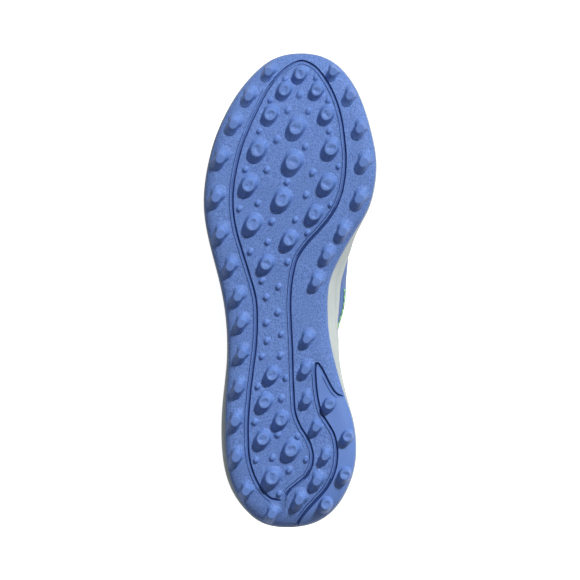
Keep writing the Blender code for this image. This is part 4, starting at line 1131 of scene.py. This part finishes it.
def upper_rows():
    around = around_shoe(KNIT_COLUMNS)
    ones = np.ones(len(around))
    length = np.linalg.norm(upper_face(around, ones) - upper_face(around, 0 * ones), axis=1)
    thick = wall_at(around, ones)
    lip = thick / 2 / length
    puff = COLLAR_PUFF * collar_share(around, ones) * (around > 0.5)
    rows = []
    for share in np.linspace(0, 1, OUTER_ROWS):
        rise = share * (1 - lip)
        fall = np.clip((1 - rise) / 0.10, 0, 1) ** 0.5
        rows.append(upper_point(around, rise, puff * collar_share(around, rise) * fall))
    for angle in np.linspace(0, np.pi, 9)[1:-1]:
        inward = thick / 2 * (1 - math.cos(angle))
        rows.append(upper_point(around, 1 - lip + lip * math.sin(angle), -inward))
    split = len(rows) - 4
    for share in np.linspace(1, 0, INNER_ROWS):
        rise = share * (1 - lip)
        rows.append(upper_point(around, rise, -wall_at(around, rise)))
    rows.append(rows[0])
    rows = np.array(rows)
    rows[:, -1] = rows[:, 0]
    return rows, split


def knit(name, dark, light, yarn=0.0017):
    """A knitted mesh: slanted stitches in columns with small holes between them, on UVs in
    metres, with yarn fuzz and soft bands of shade."""
    made = Finish(
        name, Roughness=0.85, Specular_IOR_Level=0.25, Sheen_Weight=0.35, Sheen_Roughness=0.5
    )
    wide, high = made.metres()
    turns = 2 * math.pi / yarn
    column = wide * turns
    slant = column.math("SINE").math("ABSOLUTE") * 1.4
    loop = (high * (turns * 1.15) + slant).math("SINE") * 0.5 + 0.5
    rib = column.math("COSINE").math("ABSOLUTE")
    holes = checks(wide, high, turns / 4).between(0.62, 0.86)
    place = made.place()
    fuzz = made.noise(place, 2600.0, 2.0)
    cloud = made.noise(place, 22.0, 2.0)
    height = (loop * 0.65 + rib * 0.35) * (1.0 - holes) + fuzz * 0.25
    share = height * 0.75 + 0.25 * (cloud - 0.5)
    made.colour(made.mix(share.math("ADD", 0.0, clamp=True), dark, light))
    made.rough(0.78 + 0.15 * fuzz)
    made.relief(height * 0.00028)
    return made.material


def lining():
    """Brushed lining: soft spacer mesh with small round dimples."""
    made = Finish("green lining knit", Roughness=0.95, Sheen_Weight=0.4)
    wide, high = made.metres()
    dimple = checks(wide, high, 2 * math.pi / 0.0021).between(0.2, 0.8)
    fuzz = made.noise(made.place(), 2200.0, 3.0)
    made.colour(made.mix(dimple * 0.55 + fuzz * 0.35, (0.330, 0.730, 0.170), (0.120, 0.330, 0.080)))
    made.relief(fuzz * 0.00018 - dimple * 0.00020)
    return made.material


def eyelet_places():
    """Each eyelet's (around, rise), a margin below the throat's edge, lateral side first."""
    places = []
    for toward in EYELETS_AROUND:
        for around in (toward / 2, 1 - toward / 2):
            rises = np.linspace(0.6, 1.0, RISE_STEPS)
            away = np.linalg.norm(upper_face(around, rises) - upper_face(around, 1.0), axis=1)
            places.append((around, float(np.interp(-EYELET_MARGIN, -away, rises))))
    return places


def eyelet_bar(around, rise, finish):
    """A round bar through one eyelet."""
    base, tip = (to_row(upper_point(around, rise, reach)) for reach in (-BAR_REACH, BAR_REACH))
    turn = Vector(tip - base).to_track_quat("Z", "Y").to_euler()
    place = {"location": (base + tip) / 2, "rotation": turn}
    bpy.ops.mesh.primitive_cylinder_add(vertices=28, radius=EYELET_RADIUS, depth=2 * BAR_REACH, **place)
    bar = bpy.context.object
    bpy.ops.object.transform_apply(location=True, rotation=True, scale=True)
    bar.data.materials.append(finish)
    return bar


rows, split = upper_rows()
knit_blue = knit("blue knit mesh", (0.020, 0.070, 0.240), (0.090, 0.230, 0.560))
green_lining = lining()
upper = surface("knit_upper", rows, [knit_blue, green_lining], split)
cut_out(upper, [eyelet_bar(*place, knit_blue) for place in eyelet_places()])
upper.data.set_sharp_from_angle(angle=math.radians(55))
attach(upper, "root")
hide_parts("upper")

# Films
# Thin satin films in a darker blue, welded flat onto the knit: a toe guard, a heel counter, an
# eyestay along the throat and a quarter panel on each side. Their edges sink into the knit.
OVERLAY = 0.0010
FILM_SUNK = 0.0003
FILM_EDGE = 0.0009


def alike(middle, *rows):
    """The table of a film that is alike on both sides of the middle, from its first half."""
    back = [(2 * middle - around, low, high) for around, low, high in rows[-2::-1]]
    return Table("around low high", *rows, *back)


TOE_CAP = alike(
    0.5,
    (0.385, 0.0, 0.11),
    (0.410, 0.0, 0.20),
    (0.440, 0.0, 0.35),
    (0.470, 0.0, 0.50),
    (0.500, 0.0, 0.56),
)
HEEL_COUNTER = alike(
    0.0,
    (-0.150, 0.0, 0.20),
    (-0.120, 0.0, 0.48),
    (-0.075, 0.0, 0.66),
    (-0.035, 0.0, 0.80),
    (0.000, 0.0, 0.86),
)
EYESTAY = alike(
    0.5,
    (0.236, 0.70, 0.985),
    (0.260, 0.72, 0.985),
    (0.300, 0.73, 0.985),
    (0.350, 0.75, 0.985),
    (0.400, 0.78, 0.985),
    (0.450, 0.80, 0.985),
    (0.500, 0.80, 0.985),
)
SADDLE = Table(
    "around low high",
    (0.217, 0.0, 0.55),
    (0.233, 0.0, 0.63),
    (0.250, 0.0, 0.67),
    (0.283, 0.0, 0.69),
    (0.300, 0.0, 0.67),
    (0.317, 0.0, 0.58),
    (0.333, 0.0, 0.40),
)


def edge_profile(points, width):
    """0 on the border of a grid of points and 1 from width inside it on, rounded between."""
    down, over = walked(points), walked(points.transpose(1, 0, 2)).T
    near = np.minimum.reduce([down, down[-1:] - down, over, over[:, -1:] - over])
    return np.sqrt(1 - (1 - np.clip(near / width, 0, 1)) ** 2)


def crowded(first, last, count):
    """Values from first to last, closer together near both ends."""
    even = np.linspace(0, 1, count)
    return first + (last - first) * (0.45 * even + 0.55 * (1 - np.cos(np.pi * even)) / 2)


def film_face(table, rows, columns, mirrored=False):
    """The (around, rise) grid of a film."""
    around = crowded(*table.station[[0, -1]], columns)
    low, high = table.read("low", around), table.read("high", around)
    low = np.maximum(low, rim_rise(around % 1.0) + 0.035)
    high = np.maximum(high, low + 0.02)
    rise = low + (high - low) * crowded(0, 1, rows)[:, None]
    around = 1 - around if mirrored else around
    return np.broadcast_to(around, rise.shape), rise


def film(name, table, rows, columns, finish, mirrored=False):
    """A thin closed film, its border sunk in the knit."""
    around, rise = film_face(table, rows, columns, mirrored)
    raised = edge_profile(upper_face(around, rise), FILM_EDGE)
    above = upper_point(around, rise, -FILM_SUNK + (CURVED_GAP + 0.6 * OVERLAY + FILM_SUNK) * raised)
    below = upper_point(around, rise, -FILM_SUNK - 0.4 * OVERLAY * raised)
    piece = surface(name, np.concatenate([above, below[::-1]]), [finish])
    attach(piece, "root")
    return piece


def film_finish():
    """Satin film: fine emboss of the knit below, slight sheen changes and rubbed lighter spots."""
    made = Finish("satin blue film", Roughness=0.5, Specular_IOR_Level=0.3)
    place = made.place()
    cloud = made.noise(place, 40.0, 3.0)
    fine = made.noise(place, 1600.0, 2.0)
    wide, high = made.metres()
    weave = checks(wide, high, 3300.0) * 0.5 + 0.5
    rubbed = made.noise(place, 180.0, 4.0).between(0.60, 0.78)
    colour = made.mix(cloud, (0.026, 0.090, 0.300), (0.048, 0.140, 0.410))
    made.colour(made.mix(rubbed * 0.25, colour, (0.110, 0.220, 0.500)))
    made.rough(0.40 + 0.20 * cloud + 0.12 * rubbed)
    made.relief(weave * 0.00005 + fine * 0.00003)
    return made.material


satin = film_finish()
toe_cap = film("toe_guard_film", TOE_CAP, 44, 150, satin)
heel_counter = film("heel_film", HEEL_COUNTER, 54, 150, satin)
eyestay = film("eyestay_film", EYESTAY, 30, 260, satin)
cut_out(eyestay, [eyelet_bar(*place, satin) for place in eyelet_places()])
saddle_lateral = film("outer_quarter_film", SADDLE, 60, 90, satin)
saddle_medial = film("inner_quarter_film", SADDLE, 60, 90, satin, mirrored=True)
for piece, node in (
    (toe_cap, "toe_cap"),
    (heel_counter, "heel_counter"),
    (eyestay, "eyestay"),
    (saddle_lateral, "saddle_lateral"),
    (saddle_medial, "saddle_medial"),
):
    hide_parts(node)

# Footbed
# A moulded foam footbed with a brushed green cover that lies loose on the midsole, its edge turned
# up a little along the upper's foot.
INSOLE_THICKNESS = 0.004


def insole_rows():
    around = around_shoe(240)

    def level(inward, height):
        row = upper_point(around, 0.0, -WALL - 2 * GAP - inward)
        row[:, 2] = bed_height(row[:, 0]) + height
        row[-1] = row[0]
        return row

    base = level(0.0, GAP)
    rows = to_middle(base, (1.0, 0.5, 0.0))
    rows += [level(0.0003, 0.0012), level(0.0008, 0.0030), level(0.0014, INSOLE_THICKNESS)]
    rows += [level(0.0024, INSOLE_THICKNESS + 0.0002), level(0.0040, INSOLE_THICKNESS - 0.0003)]
    rows += to_middle(level(0.0100, INSOLE_THICKNESS - 0.0010), (0.0, 0.25, 0.5, 0.75, 1.0))
    return np.array(rows)


insole = surface("footbed", insole_rows(), [green_lining])
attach(insole, "root")
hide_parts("insole")

# Tongue
# A padded knit tongue under the lace, with a sewn channel inside its edge. It is held at its foot
# under the throat and stands free at its top.
TONGUE_THICKNESS = 0.005
TONGUE_EDGE = 0.0045
CHANNEL_INSIDE = 0.0055
CHANNEL_WIDTH = 0.0007
CHANNEL_DEPTH = 0.0008
TONGUE = Table(
    "station half_turn",
    (0.360, 24.0),
    (0.375, 31.0),
    (0.400, 34.0),
    (0.450, 34.0),
    (0.550, 32.0),
    (0.650, 29.0),
    (0.700, 25.0),
)


def tongue_rows():
    station = crowded(*TONGUE.station[[0, -1]], 90)
    half = TONGUE.read("half_turn", station)[:, None]
    across = crowded(-1, 1, 54)[None, :]
    turn = 90 + half * across
    spread = np.broadcast_to(station[:, None], turn.shape)
    face = on_last(spread, turn)
    along = on_last(spread + 1e-3, turn) - on_last(spread - 1e-3, turn)
    over = on_last(spread, turn + 0.5) - on_last(spread, turn - 0.5)
    normal = unit(np.cross(along, over))
    full = edge_profile(face, TONGUE_EDGE)
    down, aside = walked(face), walked(face.transpose(1, 0, 2)).T
    near = np.minimum.reduce([down, aside, aside[:, -1:] - aside])
    channel = np.exp(-(((near - CHANNEL_INSIDE) / CHANNEL_WIDTH) ** 2)) * CHANNEL_DEPTH
    thick = TONGUE_THICKNESS * (1 - 0.45 * np.abs(across) ** 4)
    top = WALL + 2 * CURVED_GAP
    above = face - normal * (top + thick / 2 * (1 - full) + channel)[..., None]
    below = face - normal * (top + thick / 2 * (1 + full))[..., None]
    return np.concatenate([above, below[::-1]])


tongue_knit = knit("tongue knit", (0.030, 0.085, 0.280), (0.110, 0.250, 0.600), 0.0014)
tongue = surface("padded_tongue", tongue_rows(), [tongue_knit])
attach(tongue, "root")
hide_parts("tongue")

# Lace
# Five straight runs of a flat woven lace over the tongue, pinched where they dive into the
# eyelets. What runs out of sight between the eyelets is left out.
LACE_WIDTH = 0.0065
LACE_THICKNESS = 0.0016
LACE_CORNERS = 24


def lace_rows(number):
    lateral, medial = eyelet_places()[2 * number : 2 * number + 2]
    top = CURVED_GAP + OVERLAY + 2 * GAP + LACE_THICKNESS / 2
    ends = []
    for around, rise in (lateral, medial):
        dive = [upper_point(around, rise - 0.004, -0.0030), upper_point(around, rise - 0.004, 0.0)]
        climb = [upper_point(around, rise + 0.012, top), upper_point(around, 0.5 + rise / 2, top)]
        ends.append([*dive, *climb, upper_point(around, 1.0, top + GAP)])
    near, far = ends[0][-1], ends[1][-1]
    station = (near[0] - UPPER_HEEL_X) / (UPPER_TOE_X - UPPER_HEEL_X)
    crest = on_last(station, 90.0) + np.array([0.0, 0.0, GAP])
    bend = np.array([(near[0] + far[0]) / 2, crest[1], max(crest[2], near[2], far[2])])
    pull = 2 * bend - (near + far) / 2
    over = [
        (1 - t) ** 2 * near + 2 * t * (1 - t) * pull + t**2 * far
        for t in np.linspace(0, 1, 7)[1:-1]
    ]
    knots = np.array([*ends[0], *over, *ends[1][::-1]])
    length = walked(knots)
    table = Table("length x y z", *np.column_stack([length, knots]))
    places = np.linspace(0, length[-1], 96)
    path = np.column_stack([table.read(axis, places) for axis in "xyz"])
    wide = upper_point(lateral[0] + 0.004, 1.0) - upper_point(lateral[0] - 0.004, 1.0)
    wide[1] = 0.0
    tangent = unit(np.gradient(path, axis=0))
    across = unit(wide - tangent * (tangent @ wide)[:, None])
    thick = np.cross(tangent, across)
    from_end = np.minimum(places, length[-1] - places)
    pinch = 0.42 + 0.58 * np.clip((from_end - 0.003) / 0.006, 0, 1) ** 0.8
    closed = np.clip(from_end / 0.0006, 0.05, 1)
    rows = []
    for corner in range(LACE_CORNERS + 1):
        angle = 2 * np.pi * (corner % LACE_CORNERS) / LACE_CORNERS
        reach = math.copysign(abs(math.cos(angle)) ** 0.7, math.cos(angle))
        swell = LACE_THICKNESS / 2 * math.sin(angle) * (1.0 + 0.35 * (1 - pinch))
        side = across * (LACE_WIDTH / 2 * reach * pinch * closed)[:, None]
        rows.append(path + side + thick * (swell * closed)[:, None])
    return capped(np.array(rows), path[0], path[-1])


def lace_finish():
    """Flat weave: two sets of slanted ribs that cross, off-white like the foam."""
    made = Finish("woven pale lace", Roughness=0.85, Sheen_Weight=0.3)
    wide, high = made.metres()
    first = ((wide + high) * 4800.0).math("SINE")
    second = ((wide - high) * 4800.0).math("SINE")
    weave = first.math("MAXIMUM", second) * 0.5 + 0.5
    fuzz = made.noise(made.place(), 3000.0, 2.0)
    made.colour(made.mix(weave * 0.7 + fuzz * 0.3, (0.340, 0.400, 0.380), (0.700, 0.760, 0.720)))
    made.relief(weave * 0.00018 + fuzz * 0.00006)
    return made.material


woven = lace_finish()
for number in range(len(EYELETS_AROUND)):
    lace = surface(f"lace_run_{number + 1}", lace_rows(number), [woven])
    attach(lace, "root")
    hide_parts(f"lace_bar_{number + 1}")

# Stitching
# A neon green zigzag that shows at the arch in the photo holds the knit to the lining along the
# upper's widest line. Blue thread runs along the collar and the films' upper edges. Each stitch is
# a small bead of thread.
ZIGZAG = (0.212, 0.252)
ZIGZAG_RISES = (0.20, 0.24, 0.24, 0.20)
ZIGZAG_PITCH = 0.0022
ZIGZAG_REACH = 0.012
ZIGZAG_THREAD = 0.00035
PLAIN_THREAD = 0.0003
BEAD_SHAPE = ((0.0, 0.0), (0.08, 0.6), (0.3, 1.0), (0.7, 1.0), (0.92, 0.6), (1.0, 0.0))


def thread(name, dark, light):
    made = Finish(name, Roughness=0.6, Sheen_Weight=0.3)
    twist = made.noise(made.place(stretch=(2600.0, 2600.0, 900.0)), 1.0, 1.0)
    made.colour(made.mix(twist, dark, light))
    made.relief(twist * 0.00008)
    return made.material


def stitches(name, starts, ends, thick, finish):
    """A row of thread beads, each from its start to its end."""
    beads = []
    turn = np.linspace(0, 2 * np.pi, 7)
    for start, end in zip(starts, ends):
        side = unit(np.cross(end - start, (0.3, 0.2, 0.93)))
        other = np.cross(unit(end - start), side)
        circle = np.outer(np.cos(turn), side) + np.outer(np.sin(turn), other)
        circle[-1] = circle[0]
        rows = []
        for share, radius in BEAD_SHAPE:
            rows.append(start + (end - start) * share + circle * thick * radius)
        beads.append(surface(name, np.array(rows), [finish]))
    join(beads[0], beads[1:])
    beads[0].name = name
    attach(beads[0], "root")
    return beads[0]


def zigzag(name, finish, mirrored):
    """A zigzag at the arch, along one side of the upper."""
    around = np.linspace(*ZIGZAG, 200)
    rise = np.interp(around, np.linspace(*ZIGZAG, len(ZIGZAG_RISES)), ZIGZAG_RISES)
    around = 1 - around if mirrored else around
    length = walked(upper_face(around, rise))
    count = int(length[-1] / ZIGZAG_PITCH)
    places = np.linspace(0, length[-1], count + 1)
    a = np.interp(places, length, around)
    r = np.interp(places, length, rise) + ZIGZAG_REACH * np.where(np.arange(count + 1) % 2, 1, -1)
    over_film = np.clip((np.minimum(a, 1 - a) - ZIGZAG[0]) / 0.006, 0, 1)
    points = upper_point(a, r, 0.0004 + 0.0012 * over_film)
    return stitches(name, points[:-1], points[1:], ZIGZAG_THREAD, finish)


neon = thread("neon thread", (0.250, 0.700, 0.060), (0.450, 0.950, 0.180))
blue_thread = thread("blue thread", (0.050, 0.130, 0.400), (0.150, 0.300, 0.650))
for name, mirrored in (("inner_zigzag", True), ("outer_zigzag", False)):
    piece = zigzag(name, neon, mirrored)


def dashes(name, around, rise, lift, pitch, finish):
    """A line of straight stitches along a line on the upper."""
    line = upper_point(around, rise, lift)
    length = walked(line)
    starts = np.linspace(0, length[-1] - pitch, int(length[-1] / pitch))
    first, last = (
        np.column_stack([np.interp(places, length, axis) for axis in line.T])
        for places in (starts, starts + 0.72 * pitch)
    )
    return stitches(name, first, last, PLAIN_THREAD, finish)


def film_stitches(name, table, first, last, mirrored, finish):
    """A line of stitches just inside a film's upper edge."""
    around = np.linspace(first, last, 240)
    rise = table.read("high", around) - 0.030
    around = 1 - around if mirrored else around
    return dashes(name, around % 1.0, rise, 0.0011, 0.0028, finish)


for name, table, first, last, mirrored in (
    ("toe_stitches", TOE_CAP, 0.402, 0.598, False),
    ("heel_stitches", HEEL_COUNTER, -0.132, 0.132, False),
    ("outer_quarter_stitches", SADDLE, 0.222, 0.318, False),
    ("inner_quarter_stitches", SADDLE, 0.222, 0.318, True),
):
    film_stitches(name, table, first, last, mirrored, blue_thread)
collar = np.linspace(-0.195, 0.195, 300)
stitch_lift = np.where(collar > 0, -0.0002, 0.0013)
collar_stitch = dashes("collar_stitches", collar % 1.0, 0.90, stitch_lift, 0.0030, blue_thread)

# Floor, light and camera
# A plain pale floor and curtain. The camera looks straight at the tread with the toe up, and the
# main light comes from the inner toe side, as in the photo.
ROOM_RADIUS = 9.0
ROOM_HEIGHT = 8.0


def stage_finish(name, colour, glow):
    made = Finish(name, Roughness=0.9, Emission_Color=(1, 1, 1, 1), Emission_Strength=glow)
    dust = made.noise(made.place(), 3.0, 2.0)
    made.colour(made.mix(dust, colour, tuple(c * 1.04 for c in colour)))
    return made.material


bpy.ops.mesh.primitive_circle_add(vertices=96, radius=ROOM_RADIUS, fill_type="NGON")
floor = bpy.context.object
floor.name = "floor"
floor.data.materials.append(stage_finish("floor paper", (0.40, 0.40, 0.40), 0.96))
bpy.ops.mesh.primitive_cylinder_add(
    vertices=96,
    radius=ROOM_RADIUS,
    depth=ROOM_HEIGHT,
    end_fill_type="NOTHING",
    location=(0, 0, ROOM_HEIGHT / 2),
)
curtain = bpy.context.object
curtain.name = "curtain"
curtain.data.materials.append(stage_finish("curtain paper", (0.30, 0.30, 0.30), 0.92))
for sheet in (floor, curtain):
    sheet.visible_diffuse = False
    sheet.visible_shadow = False

scene = bpy.context.scene
scene.view_settings.view_transform = "Standard"
world = bpy.data.worlds.new("studio")
world.use_nodes = True
sky = world.node_tree.nodes["Background"]
sky.inputs["Color"].default_value = (0.85, 0.95, 1.15, 1.0)
sky.inputs["Strength"].default_value = 0.13
scene.world = world


def sun(name, toward, strength, spread):
    """A soft distant light that comes from the given direction."""
    lamp = bpy.data.lights.new(name, "SUN")
    lamp.energy = strength
    lamp.angle = math.radians(spread)
    made = bpy.data.objects.new(name, lamp)
    made.rotation_euler = Vector(toward).to_track_quat("Z", "Y").to_euler()
    scene.collection.objects.link(made)


sun("key", TURN @ np.array([0.61, 0.43, -0.66]), 4.2, 6)
sun("back_fill", (0.35, 0.75, 0.60), 1.6, 60)
sun("floor_bounce", TURN @ np.array([0.0, -0.9, -0.4]), 0.26, 90)

PHOTO_SPAN = 0.3662
CAMERA_AWAY = 4.0
seen = to_row(np.array([[0.1498, -0.0004, 0.005]]))[0]
lens = bpy.data.cameras.new("camera")
lens.sensor_width = 36.0
lens.lens = CAMERA_AWAY * lens.sensor_width / PHOTO_SPAN
camera = bpy.data.objects.new("camera", lens)
scene.collection.objects.link(camera)
up, right = TURN[:, 0], TURN[:, 1]
pose = Matrix.Identity(4)
for i in range(3):
    pose[i] = (right[i], up[i], down[i], seen[i] + down[i] * CAMERA_AWAY)
camera.matrix_world = pose
scene.camera = camera
